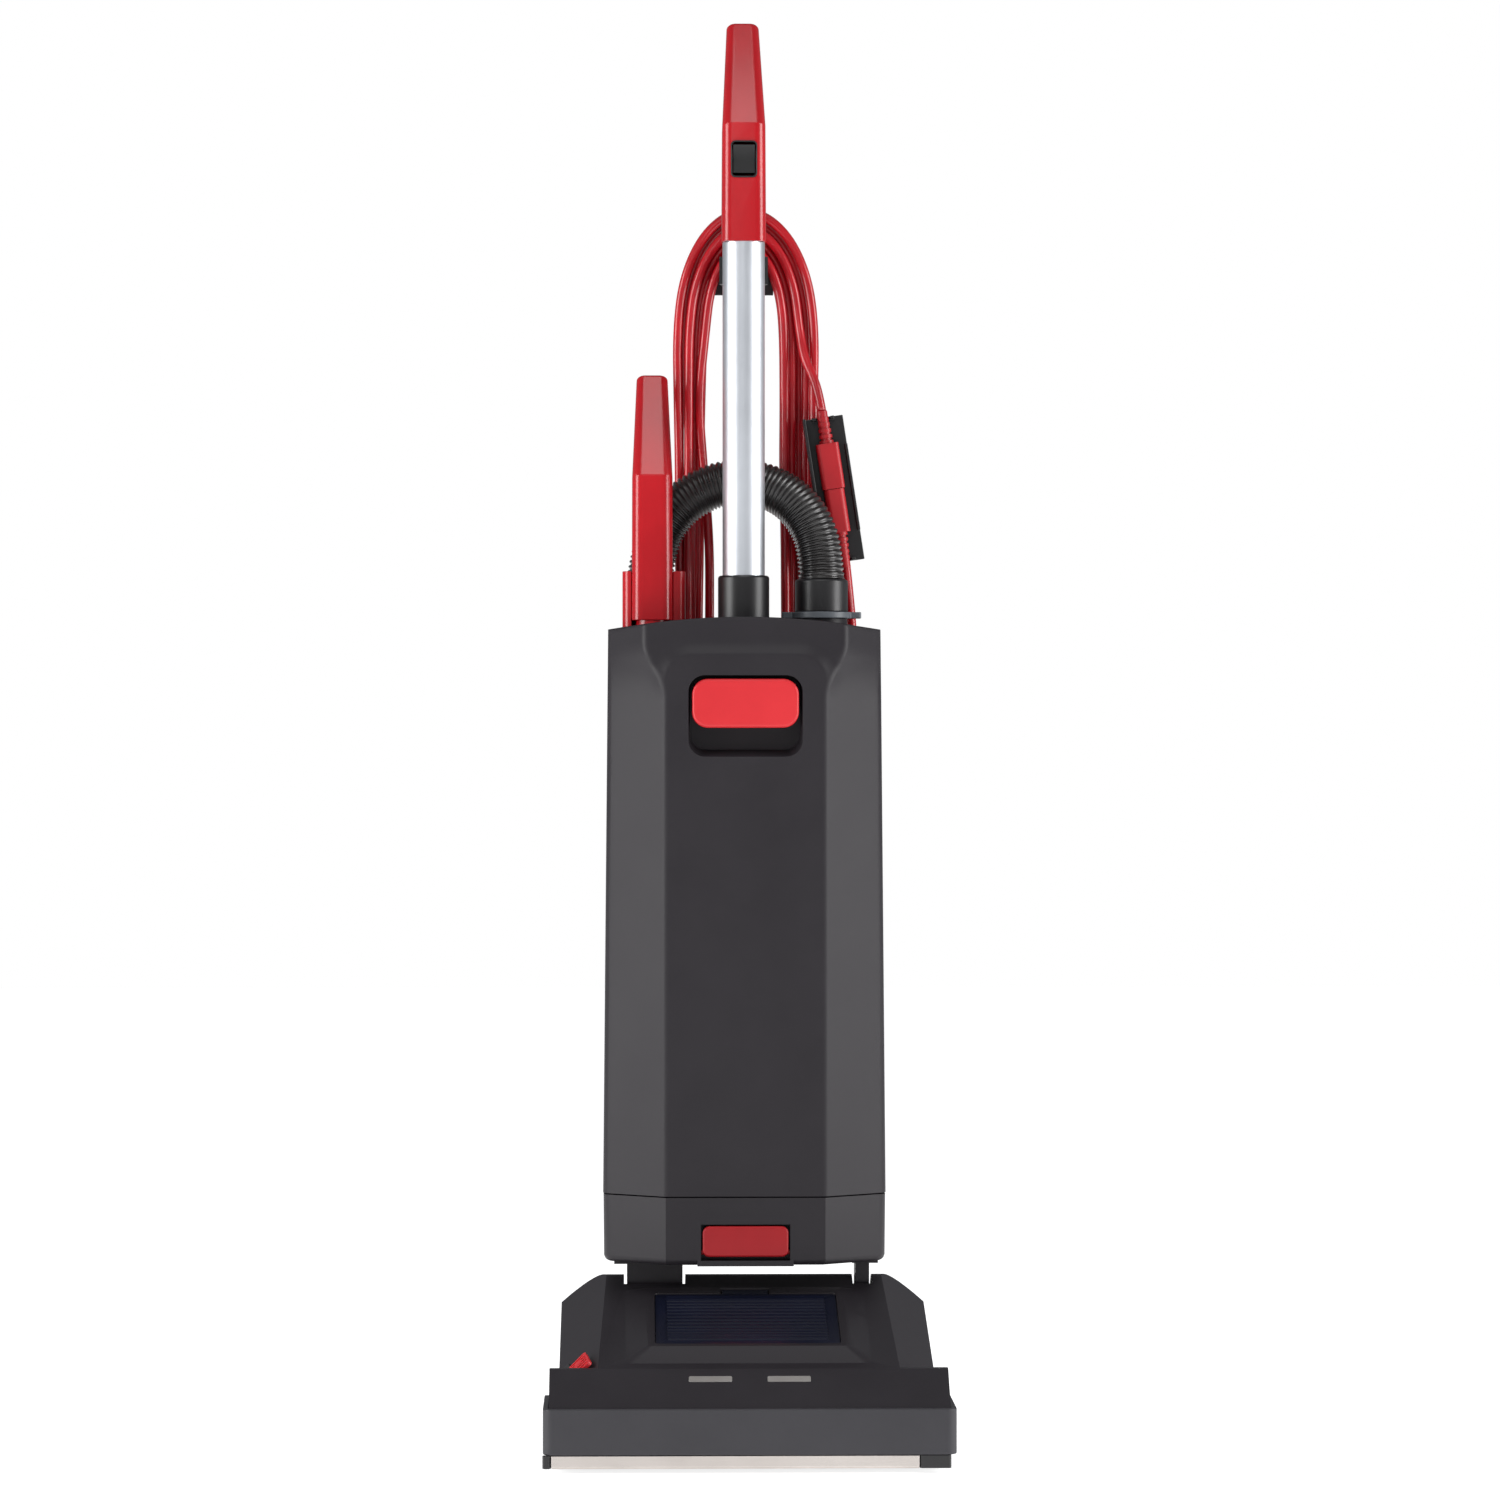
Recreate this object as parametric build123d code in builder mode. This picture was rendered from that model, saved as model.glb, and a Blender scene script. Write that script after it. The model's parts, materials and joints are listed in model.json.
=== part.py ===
from build123d import *
import math
import os

# Upright vacuum cleaner with a tilting body, an on-board hose and a wound mains lead.
# Millimetres. +X is the machine's left-to-right as it is faced, -Y its nose, +Z up.
# The origin is on the floor under the middle of the machine.

os.makedirs("parts", exist_ok=True)

# ---- driving dimensions -------------------------------------------------------------
WALL = 2.8                       # moulded shell thickness
GAP = 0.3                        # clearance between pieces that move past each other

# cleaner head
HALF_BUMPER = 170.0              # half width over the bumper
HALF_NOSE = 165.0                # half width of the nose block
HALF_HOOD = 158.0                # half width of the hood behind the nose
NOSE_Y = -170.0                  # hood's front face, behind the bumper
FRONT_Y = -176.0                 # bumper's front face
SHELF_Y, SHELF_Z = -132.0, 82.0  # line where the nose meets the deck
DECK_SLOPE = 0.281               # deck's rise per mm towards the back
FACET_X = 125.0                  # half width of the deck at the shelf
FACET_FALL = 1.0                 # side facet's fall per mm outwards
RIM_Z = 20.0                     # joint between base pan and hood
PAN_Z = 6.0                      # underside of the base pan
REAR_Y = 122.0                   # back of the head
PIVOT_Y, PIVOT_Z = 80.0, 98.0    # axis that the upright body tilts on
HUMP_R = 42.0                    # hood's round back about the pivot
LEG_L = (-101.0, -53.0)          # left leg, also the air passage
LEG_R = (96.0, 108.0)            # right leg
PIN_R = 6.0                      # pivot pins
WINDOW_HALF = 77.5               # exhaust window
WINDOW_Y = (-104.0, 22.0)
WINDOW_RISE = 0.235              # window's rise per mm towards the back
WINDOW_Z0 = 99.0                 # raised panel's height at its front edge
PANEL_Y0 = -108.0
LOUVRES = 13

# brush, drive and wheels
BRUSH_Y, BRUSH_Z = -133.0, 33.0
BRUSH_CORE_R, BRUSH_TIP_R = 19.0, 32.8
BRUSH_HALF = 148.0
MOTOR_Y, MOTOR_Z, MOTOR_R = -45.0, 50.0, 28.0
PULLEY_R = 9.0
BELT_X = (98.0, 110.0)
BELT_T = 1.6
WHEEL_Y, WHEEL_R = 86.0, 30.0
ROLLER_X, ROLLER_Y, ROLLER_R = 44.0, -78.0, 13.0

# upright body
BODY_Z0, PARTING_Z = 155.0, 212.5
BODY_TOP, SIDE_TOP = 707.5, 697.5  # top at the middle and at the sides
HALF_PANEL = 68.0                # flat front panel
HALF_LOW, HALF_HIGH = 121.5, 117.0
CORNER_Y, BACK_Y = 42.0, 135.0
DOOR_Y = 55.0                    # seam between the bag door and the rear housing
TUBE_Y, TUBE_R, TUBE_IN = 80.0, 18.3, 16.8
COLLAR_R, COLLAR_TOP = 22.2, 744.5
GRIP_Z = 1033.0                  # bottom of the red handle grip
BEND_Z, GRIP_TOP = 1131.0, 1228.0
GRIP_TILT = 28.0                 # how far the grip leans back above its bend, degrees
SWITCH_Z = (1088.5, 1118.5)

# stored wand and hose
WAND_X, WAND_Y = -79.0, 90.0
WAND_Z, WAND_BEND, WAND_TOP = 706.0, 828.0, 921.0
HOSE_D = 40.0
PORT_X, PORT_Y = 68.0, 100.0
CUFF_TOP = 742.0
HOSE_END = (-82.0, 130.0, 740.0)

# mains lead
CORD_D = 8.0
COIL_Y = (146.0, 172.0)
HOOK_Z, HOOK_R = 1009.0, 19.0
LOW_HOOK_Z = 470.0

# free routes, each a hand-chosen list of points from its exit onwards
HOSE_ROUTE = [
    (68.0, 100.0, 742.0), (67.5, 100.5, 764.0), (60.0, 104.0, 791.0), (42.0, 111.0, 813.5),
    (17.0, 119.0, 826.0), (-12.0, 122.5, 828.0), (-38.0, 123.5, 820.0), (-61.0, 125.5, 802.0),
    (-76.0, 128.5, 776.0), (-82.0, 130.0, 740.0),
]
PIGTAIL_ROUTE = [
    (97.0, 148.0, 664.0), (97.2, 147.0, 686.0), (96.0, 143.0, 708.0), (93.6, 137.4, 730.0),
    (91.2, 134.0, 752.0),
]
LEAD_ROUTE = [
    (69.5, 134.0, 890.5), (66.4, 134.6, 908.0), (60.6, 137.4, 924.0), (54.0, 142.0, 938.0),
    (50.0, 146.0, 951.0),
]
TAIL_ROUTE = [(8.0, 159.0, 406.0), (8.0, 159.0, 350.0)]


def save(name, label):
    """Labels a finished piece and writes it as its own STEP file."""
    name.part.label = label
    export_step(name.part, f"parts/{label}.step")


def route_radii(route):
    """Radius at each inner point: 0.45 of its shorter run over the tangent of half its turn."""
    radii = []
    for before, at, after in zip(route, route[1:], route[2:]):
        run_in, run_out = Vector(*at) - Vector(*before), Vector(*after) - Vector(*at)
        half_turn = math.radians(run_in.get_angle(run_out)) / 2
        radii.append(0.45 * min(run_in.length, run_out.length) / math.tan(half_turn))
    return radii


def route_tube(route, diameter, label):
    """Writes a tube of straight runs and tangent arcs along a route."""
    radii = route_radii(route)
    with BuildPart() as tube:
        with BuildLine() as path:
            if radii:
                FilletPolyline(*route, radius=radii)
            else:
                Line(*route)
        with BuildSketch(path.line ^ 0):
            Circle(diameter / 2)
        sweep()
    length = sum(edge.length for edge in path.edges())
    section = math.pi * diameter**2 / 4
    print(label, "length", round(length, 1), "radii", [round(r, 1) for r in radii],
          "volume ratio", round(tube.part.volume / (section * length), 4))
    save(tube, label)


def deck_z(y):
    """Height of the hood's deck."""
    return SHELF_Z + DECK_SLOPE * (y - SHELF_Y)


def window_z(y):
    """Height of the raised panel round the exhaust window."""
    return WINDOW_Z0 + WINDOW_RISE * (y - PANEL_Y0)


# ---- cleaner head: hood -------------------------------------------------------------
def hood_form(inset):
    """Solid outer form of the hood, drawn in by inset on every side but the bottom."""
    slope_angle = math.atan(DECK_SLOPE)
    lift = inset / math.cos(slope_angle)
    tangent = (PIVOT_Y - (HUMP_R - inset) * math.sin(slope_angle),
               PIVOT_Z + (HUMP_R - inset) * math.cos(slope_angle))
    diagonal = (PIVOT_Y + (HUMP_R - inset) * math.sin(math.radians(35)),
                PIVOT_Z + (HUMP_R - inset) * math.cos(math.radians(35)))
    with BuildPart() as form:
        with BuildSketch(Plane.YZ.offset(-HALF_HOOD + inset)):
            with BuildLine():
                Polyline((NOSE_Y + 20, RIM_Z), (SHELF_Y, RIM_Z), (SHELF_Y, SHELF_Z - lift), tangent)
                ThreePointArc(tangent, diagonal, (REAR_Y - inset, PIVOT_Z))
                Polyline((REAR_Y - inset, PIVOT_Z), (REAR_Y - inset, RIM_Z), (NOSE_Y + 20, RIM_Z))
            make_face()
        extrude(amount=2 * (HALF_HOOD - inset))
        for side in (-1, 1):
            normal = Vector(side * FACET_FALL, -DECK_SLOPE + 0.03 * FACET_FALL, 1).normalized()
            origin = Vector(side * FACET_X, SHELF_Y, SHELF_Z) - normal * inset
            with BuildSketch(Plane(origin=origin, x_dir=(0, 1, 0), z_dir=normal)):
                Rectangle(700, 600)
            extrude(amount=200, mode=Mode.SUBTRACT)
        with BuildSketch(Plane.YZ.offset(-HALF_NOSE + inset)):
            with BuildLine():
                Polyline((NOSE_Y + inset, RIM_Z), (NOSE_Y + inset, 54 - inset / 2),
                         (SHELF_Y - inset, SHELF_Z - inset), (SHELF_Y + 9 - inset, SHELF_Z - inset),
                         (SHELF_Y + 9 - inset, RIM_Z), close=True)
            make_face()
        extrude(amount=2 * (HALF_NOSE - inset))
    return form.part


with BuildPart() as hood:
    add(hood_form(0))
    with BuildSketch(Plane(origin=(0, SHELF_Y, SHELF_Z), x_dir=(1, 0, 0), z_dir=(0, -DECK_SLOPE, 1))):
        with Locations((0, 96)):
            RectangleRounded(206, 168, 8)
    with BuildSketch(Plane(origin=(0, PANEL_Y0, WINDOW_Z0), x_dir=(1, 0, 0), z_dir=(0, -WINDOW_RISE, 1))):
        with Locations((0, 73)):
            RectangleRounded(167, 150, 4)
    loft(ruled=True)
    add(hood_form(WALL), mode=Mode.SUBTRACT)
    # exhaust window
    with BuildSketch(Plane.XY.offset(60)):
        with Locations((0, sum(WINDOW_Y) / 2)):
            RectangleRounded(2 * WINDOW_HALF, WINDOW_Y[1] - WINDOW_Y[0], 4)
    extrude(amount=100, mode=Mode.SUBTRACT)
    # notch for the window's finger tab
    with Locations((0, WINDOW_Y[1] + 5, window_z(WINDOW_Y[1] + 5) - 1)):
        Box(42, 14, 11, mode=Mode.SUBTRACT)
    # slots that the two legs swing back in, and the wheel arches
    for low, high in (LEG_L, LEG_R):
        with Locations(((low + high) / 2, PIVOT_Y - 26, 60)):
            Box(high - low + 5, 90, 120, align=(Align.CENTER, Align.MIN, Align.MIN), mode=Mode.SUBTRACT)
    for side in (-1, 1):
        with Locations(Location((side * 140, WHEEL_Y, WHEEL_R), (0, 90, 0))):
            Cylinder(WHEEL_R + 5, 60, mode=Mode.SUBTRACT)
    # pedal stem hole and reset button hole in the left facet, lens pockets in the nose
    facet_n = Vector(-FACET_FALL, -DECK_SLOPE + 0.03 * FACET_FALL, 1).normalized()
    PEDAL_AT = Vector(-136, -104, SHELF_Z + 28 * (DECK_SLOPE - 0.0225) - 11 * FACET_FALL)
    BUTTON_AT = Vector(-151, -64, SHELF_Z + 68 * (DECK_SLOPE - 0.0225) - 26 * FACET_FALL)
    pedal_plane = Plane(origin=PEDAL_AT, x_dir=(0, 1, 0), z_dir=facet_n)
    button_plane = Plane(origin=BUTTON_AT, x_dir=(0, 1, 0), z_dir=facet_n)
    with BuildSketch(pedal_plane):
        Circle(5.0)
    extrude(amount=20, both=True, mode=Mode.SUBTRACT)
    with BuildSketch(button_plane):
        Rectangle(17, 9)
    extrude(amount=10, both=True, mode=Mode.SUBTRACT)
    nose_fall = Vector(0, SHELF_Y - NOSE_Y, SHELF_Z - 54).normalized()
    nose_plane = Plane(origin=(0, SHELF_Y - 10, SHELF_Z - 10 * nose_fall.Z / nose_fall.Y),
                       x_dir=(1, 0, 0), z_dir=(0, -nose_fall.Z, nose_fall.Y))
    with BuildSketch(nose_plane):
        with Locations((-32, 0), (33, 0)):
            RectangleRounded(36, 7, 1.5)
    extrude(amount=12, both=True, mode=Mode.SUBTRACT)
save(hood, "head_hood")

with BuildPart() as status_lenses:
    with BuildSketch(nose_plane.offset(-2.2)):
        with Locations((-32, 0), (33, 0)):
            RectangleRounded(35.8, 6.8, 1.4)
    extrude(amount=2.6)
save(status_lenses, "status_lenses")

# ---- cleaner head: base pan ---------------------------------------------------------
WHEEL_X = (126.0, 150.0)
CHAMBER_Y = -96.0                # back wall of the brush chamber
EARS = [(-109.0, LEG_L[0] - 2.2), (LEG_L[1] + 2.2, -45.0), (88.0, LEG_R[0] - 2.2), (LEG_R[1] + 2.2, 116.0)]
with BuildPart() as base_pan:
    with BuildSketch(Plane.XY.offset(PAN_Z)):
        with BuildLine():
            Polyline((-HALF_NOSE, NOSE_Y), (HALF_NOSE, NOSE_Y), (HALF_NOSE, SHELF_Y + 9),
                     (HALF_HOOD, SHELF_Y + 9), (HALF_HOOD, REAR_Y), (-HALF_HOOD, REAR_Y),
                     (-HALF_HOOD, SHELF_Y + 9), (-HALF_NOSE, SHELF_Y + 9), close=True)
        make_face()
    extrude(amount=RIM_Z - PAN_Z)
    with BuildSketch(Plane.XY.offset(PAN_Z + WALL)):
        with Locations((0, (REAR_Y - WALL + CHAMBER_Y) / 2)):
            Rectangle(2 * (HALF_HOOD - WALL), REAR_Y - WALL - CHAMBER_Y)
    extrude(amount=30, mode=Mode.SUBTRACT)
    # brush opening through the pan
    with Locations((0, BRUSH_Y, PAN_Z)):
        Box(2 * BRUSH_HALF + 14, 67, 60, mode=Mode.SUBTRACT)
    # slots for the rollers and the wheels
    for side in (-1, 1):
        with Locations((side * ROLLER_X, ROLLER_Y, PAN_Z)):
            Box(24, 30, 40, mode=Mode.SUBTRACT)
        with Locations((side * 142, WHEEL_Y, PAN_Z)):
            Box(36, 72, 60, mode=Mode.SUBTRACT)
        # wheel post inboard of each wheel
        with Locations((side * 121, WHEEL_Y, PAN_Z)):
            Box(5, 26, 40, align=(Align.CENTER, Align.CENTER, Align.MIN))
    # ears that carry the pivot pins
    for low, high in EARS:
        with BuildSketch(Plane.YZ.offset(low)):
            with Locations((PIVOT_Y, PIVOT_Z)):
                Circle(16)
            with Locations((PIVOT_Y, PAN_Z)):
                Rectangle(32, PIVOT_Z - PAN_Z, align=(Align.CENTER, Align.MIN))
        extrude(amount=high - low)
    with Locations(Location((0, PIVOT_Y, PIVOT_Z), (0, 90, 0))):
        Cylinder(PIN_R, 400, mode=Mode.SUBTRACT)
    for side in (-1, 1):
        with Locations(Location((side * 121, WHEEL_Y, WHEEL_R), (0, 90, 0))):
            Cylinder(4, 40, mode=Mode.SUBTRACT)
save(base_pan, "base_pan")

with BuildPart() as pivot_pins:
    with Locations(Location((sum(LEG_L) / 2, PIVOT_Y, PIVOT_Z), (0, 90, 0))):
        Cylinder(PIN_R, 64)
    with Locations(Location((sum(LEG_R) / 2, PIVOT_Y, PIVOT_Z), (0, 90, 0))):
        Cylinder(PIN_R, 28)
save(pivot_pins, "pivot_pins")

# ---- cleaner head: bumper and front edge --------------------------------------------
with BuildPart() as bumper:
    with BuildSketch(Plane.XY.offset(16)):
        RectangleRounded(2 * HALF_BUMPER, 140, 9)
    extrude(amount=38)
    with BuildSketch(Plane.XY.offset(16)):
        with Locations((0, 24)):
            Rectangle(2 * HALF_NOSE, 176)
    extrude(amount=38, mode=Mode.SUBTRACT)
    with Locations((0, 62, 35)):
        Box(400, 60, 60, mode=Mode.SUBTRACT)
BUMPER_SHIFT = FRONT_Y + 70
bumper.part.label = "bumper"
bumper.part.locate(Location((0, BUMPER_SHIFT, 0)))
export_step(bumper.part, "parts/bumper.step")

STRIP_X = (-163.0, 139.0)
with BuildPart() as edge_strip:
    with BuildSketch(Plane.YZ.offset(STRIP_X[0])):
        with BuildLine():
            Polyline((-175.5, 15.6), (-175.5, 6.6), (-173.0, 4.6), (-164.0, 4.6), (-164.0, 5.9),
                     (-172.6, 5.9), (-174.2, 7.2), (-174.2, 15.6), close=True)
        make_face()
    extrude(amount=STRIP_X[1] - STRIP_X[0])
save(edge_strip, "edge_strip")

with BuildPart() as strip_ends:
    with Locations((STRIP_X[1] + 0.2, -175.6, 5.0)):
        Box(26, 11, 10.8, align=(Align.MIN, Align.MIN, Align.MIN))
    with Locations((STRIP_X[0] - 0.2, -175.6, 5.0)):
        Box(7, 11, 10.8, align=(Align.MAX, Align.MIN, Align.MIN))
    chamfer(strip_ends.edges().filter_by(Axis.Z).group_by(Axis.Y)[0], 1.5)
    with Locations((0, NOSE_Y - 0.1, PAN_Z - 0.1)):
        Box(400, 20, 20, align=(Align.CENTER, Align.MIN, Align.MIN), mode=Mode.SUBTRACT)
save(strip_ends, "strip_ends")

# ---- brush roll ---------------------------------------------------------------------
with BuildPart() as brush_core:
    with Locations(Location((0, BRUSH_Y, BRUSH_Z), (0, 90, 0))):
        Cylinder(BRUSH_CORE_R, 2 * BRUSH_HALF - 12)
        Cylinder(4, 2 * BRUSH_HALF + 8)
    with Locations(Location((sum(BELT_X) / 2, BRUSH_Y, BRUSH_Z), (0, 90, 0))):
        Cylinder(BRUSH_CORE_R + 4, BELT_X[1] - BELT_X[0] + 6)
        Cylinder(BRUSH_CORE_R + 6, BELT_X[1] - BELT_X[0] + 0.6, mode=Mode.SUBTRACT)
        Cylinder(BRUSH_CORE_R, BELT_X[1] - BELT_X[0] + 0.6)
save(brush_core, "brush_core")

TUFTS_A_ROW = 20
TUFT_TWIST = 150.0               # degrees that a row turns from the middle to an end
TUFT_SPAN = 132.0
with BuildPart() as brush_tufts:
    for row in (0, 180):
        for step in range(TUFTS_A_ROW + 1):
            x = -TUFT_SPAN + step * 2 * TUFT_SPAN / TUFTS_A_ROW
            if BELT_X[0] - 8 < x < BELT_X[1] + 8:
                continue
            turn = row + abs(x) / TUFT_SPAN * TUFT_TWIST
            root = Location((x, BRUSH_Y, BRUSH_Z), (turn, 0, 0)) * Location((0, 0, BRUSH_CORE_R))
            with Locations(root):
                Cylinder(3.4, BRUSH_TIP_R - BRUSH_CORE_R,
                         align=(Align.CENTER, Align.CENTER, Align.MIN))
save(brush_tufts, "brush_tufts")

with BuildPart() as brush_bearings:
    for side in (-1, 1):
        with Locations((side * (BRUSH_HALF + 2.5), BRUSH_Y, 9.2)):
            Box(7, 26, 36, align=(Align.CENTER, Align.CENTER, Align.MIN))
        with Locations(Location((side * (BRUSH_HALF + 1), BRUSH_Y, BRUSH_Z), (0, 90, 0))):
            Cylinder(4.06, 16, mode=Mode.SUBTRACT)
save(brush_bearings, "brush_bearings")

# ---- drive: motor, pulley and belt --------------------------------------------------
MOTOR_X = (-36.0, 84.0)
with BuildPart() as motor:
    with Locations(Location((sum(MOTOR_X) / 2, MOTOR_Y, MOTOR_Z), (0, 90, 0))):
        Cylinder(MOTOR_R, MOTOR_X[1] - MOTOR_X[0] - 40)
        Cylinder(MOTOR_R - 6, MOTOR_X[1] - MOTOR_X[0])
    with Locations(Location((MOTOR_X[0] + 10, MOTOR_Y, MOTOR_Z), (0, 90, 0))):
        Cylinder(MOTOR_R + 4, 20)
    with Locations((sum(MOTOR_X) / 2, MOTOR_Y, PAN_Z + WALL)):
        Box(60, 30, MOTOR_Z - PAN_Z - WALL - 10, align=(Align.CENTER, Align.CENTER, Align.MIN))
    with Locations(Location((MOTOR_X[1] - 6, MOTOR_Y, MOTOR_Z), (0, 90, 0))):
        Cylinder(4.06, 30, mode=Mode.SUBTRACT)
save(motor, "motor")

with BuildPart() as motor_pulley:
    with Locations(Location((MOTOR_X[1] + 5, MOTOR_Y, MOTOR_Z), (0, 90, 0))):
        Cylinder(4.0, 50)
    with Locations(Location((sum(BELT_X) / 2, MOTOR_Y, MOTOR_Z), (0, 90, 0))):
        Cylinder(PULLEY_R, BELT_X[1] - BELT_X[0] + 1)
    for edge in BELT_X:
        with Locations(Location((edge + math.copysign(1.2, edge - 104), MOTOR_Y, MOTOR_Z), (0, 90, 0))):
            Cylinder(PULLEY_R + 3, 1.4)
save(motor_pulley, "motor_pulley")


def belt_outline(radius_a, radius_b):
    """Closed band outline round the motor pulley and the brush roll, in the YZ plane."""
    run = Vector(BRUSH_Y - MOTOR_Y, BRUSH_Z - MOTOR_Z)
    lean = math.asin((radius_b - radius_a) / run.length)
    along = math.atan2(run.Y, run.X)
    corners = []
    for side in (1, -1):
        angle = along + side * (math.pi / 2 + lean)
        corners.append([(MOTOR_Y + radius_a * math.cos(angle), MOTOR_Z + radius_a * math.sin(angle)),
                        (BRUSH_Y + radius_b * math.cos(angle), BRUSH_Z + radius_b * math.sin(angle))])
    back = (MOTOR_Y - radius_a * math.cos(along), MOTOR_Z - radius_a * math.sin(along))
    front = (BRUSH_Y + radius_b * math.cos(along), BRUSH_Z + radius_b * math.sin(along))
    Line(corners[0][0], corners[0][1])
    ThreePointArc(corners[0][1], front, corners[1][1])
    Line(corners[1][1], corners[1][0])
    ThreePointArc(corners[1][0], back, corners[0][0])


with BuildPart() as drive_belt:
    with BuildSketch(Plane.YZ.offset(BELT_X[0] + 0.8)):
        with BuildLine():
            belt_outline(PULLEY_R + GAP + BELT_T, BRUSH_CORE_R + GAP + BELT_T)
        make_face()
    extrude(amount=BELT_X[1] - BELT_X[0] - 1.6)
    with BuildSketch(Plane.YZ.offset(BELT_X[0])):
        with BuildLine():
            belt_outline(PULLEY_R + GAP, BRUSH_CORE_R + GAP)
        make_face()
    extrude(amount=BELT_X[1] - BELT_X[0], mode=Mode.SUBTRACT)
save(drive_belt, "drive_belt")

# ---- air duct from the brush chamber to the left leg --------------------------------
with BuildPart() as dirt_duct:
    with BuildSketch(Plane.YZ.offset(LEG_L[0] + 4)):
        with BuildLine():
            Polyline((-94, 22), (58, 22), (58, 92), (40, 92), (20, 52), (-94, 52), close=True)
        make_face()
    extrude(amount=LEG_L[1] - LEG_L[0] - 12)
    with BuildSketch(Plane.YZ.offset(LEG_L[0] + 6.4)):
        with BuildLine():
            Polyline((-110, 24.4), (90, 24.4), (90, 80), (46, 86), (24, 49.6), (-110, 49.6), close=True)
        make_face()
    extrude(amount=LEG_L[1] - LEG_L[0] - 16.8, mode=Mode.SUBTRACT)
    with Locations(Location((sum(LEG_L) / 2, PIVOT_Y, PIVOT_Z), (0, 90, 0))):
        Cylinder(23, 60, mode=Mode.SUBTRACT)
save(dirt_duct, "dirt_duct")

# ---- exhaust filter and its louvred window ------------------------------------------
window_frame = Plane(origin=(0, PANEL_Y0, WINDOW_Z0), x_dir=(1, 0, 0), z_dir=(0, -WINDOW_RISE, 1))
WINDOW_STRETCH = math.sqrt(1 + WINDOW_RISE**2)
WINDOW_V = [(y - PANEL_Y0) * WINDOW_STRETCH for y in WINDOW_Y]
WINDOW_HINGE = (-102.5, 98.5)
with BuildPart() as exhaust_window:
    with BuildSketch(window_frame.offset(-4)):
        with Locations((0, sum(WINDOW_V) / 2)):
            RectangleRounded(2 * WINDOW_HALF - 1.2, WINDOW_V[1] - WINDOW_V[0] - 2.4, 3.6)
    extrude(amount=3)
    pitch = (WINDOW_V[1] - WINDOW_V[0] - 14) / LOUVRES
    for slat in range(LOUVRES):
        v = WINDOW_V[0] + 7 + (slat + 0.5) * pitch
        tilt = Location((0, 0, 0), (24, 0, 0))
        with Locations(window_frame.location * Location((0, v, -1.6)) * tilt):
            Box(134, 6.2, 1.5)
    with Locations(window_frame.location * Location((0, WINDOW_V[1] + 3.4, -2.2))):
        Box(39, 11, 3.2)
    # hinge pins at the front edge
    with Locations((0, WINDOW_HINGE[0], WINDOW_HINGE[1])):
        Cylinder(1.2, 2 * WINDOW_HALF - 5.8, rotation=(0, 90, 0))
save(exhaust_window, "exhaust_window")

with BuildPart() as exhaust_filter:
    with BuildSketch(window_frame.offset(-21)):
        with Locations((0, sum(WINDOW_V) / 2 + 4)):
            RectangleRounded(148, 112, 3)
    extrude(amount=14)
save(exhaust_filter, "exhaust_filter")

# ---- pedal, reset button ------------------------------------------------------------
with BuildPart() as release_pedal:
    with BuildSketch(pedal_plane.offset(3.6)):
        RectangleRounded(34, 19, 3)
    extrude(amount=3.2)
    for rib in range(5):
        with Locations(pedal_plane.location * Location((-12 + rib * 6, 0, 7.1))):
            Box(2, 15, 1.4)
    with BuildSketch(pedal_plane.offset(-16)):
        Circle(4.4)
    extrude(amount=24)
save(release_pedal, "release_pedal")

with BuildPart() as reset_button:
    with BuildSketch(button_plane.offset(-6)):
        Rectangle(16.2, 8.2)
    extrude(amount=7.6)
save(reset_button, "reset_button")

# ---- wheels and rollers -------------------------------------------------------------
for side, hand in ((-1, "left"), (1, "right")):
    with BuildPart() as rear_wheel:
        with Locations(Location((side * sum(WHEEL_X) / 2, WHEEL_Y, WHEEL_R), (0, 90, 0))):
            Cylinder(WHEEL_R, WHEEL_X[1] - WHEEL_X[0])
        fillet(rear_wheel.edges().filter_by(GeomType.CIRCLE), 3)
        with Locations(Location((side * WHEEL_X[1], WHEEL_Y, WHEEL_R), (0, 90, 0))):
            Cylinder(WHEEL_R - 9, 8, mode=Mode.SUBTRACT)
            Cylinder(8, 8)
        with Locations(Location((side * sum(WHEEL_X) / 2, WHEEL_Y, WHEEL_R), (0, 90, 0))):
            Cylinder(4.06, 60, mode=Mode.SUBTRACT)
    save(rear_wheel, f"rear_wheel_{hand}")
    with BuildPart() as front_roller:
        with Locations(Location((side * ROLLER_X, ROLLER_Y, ROLLER_R), (0, 90, 0))):
            Cylinder(ROLLER_R, 18)
            Cylinder(2.55, 60, mode=Mode.SUBTRACT)
    save(front_roller, f"front_roller_{hand}")

with BuildPart() as wheel_axles:
    for side in (-1, 1):
        with Locations(Location((side * 136.5, WHEEL_Y, WHEEL_R), (0, 90, 0))):
            Cylinder(4, 36)
        with Locations(Location((side * 155.2, WHEEL_Y, WHEEL_R), (0, 90, 0))):
            Cylinder(7, 1.4)
save(wheel_axles, "wheel_axles")

with BuildPart() as roller_axles:
    for side in (-1, 1):
        with Locations(Location((side * ROLLER_X, ROLLER_Y, ROLLER_R), (0, 90, 0))):
            Cylinder(2.5, 32)
        for end in (-14, 14):
            with Locations((side * ROLLER_X + end, ROLLER_Y, ROLLER_R)):
                Box(4, 8, 2 * (ROLLER_R - PAN_Z - WALL))
save(roller_axles, "roller_axles")


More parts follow.
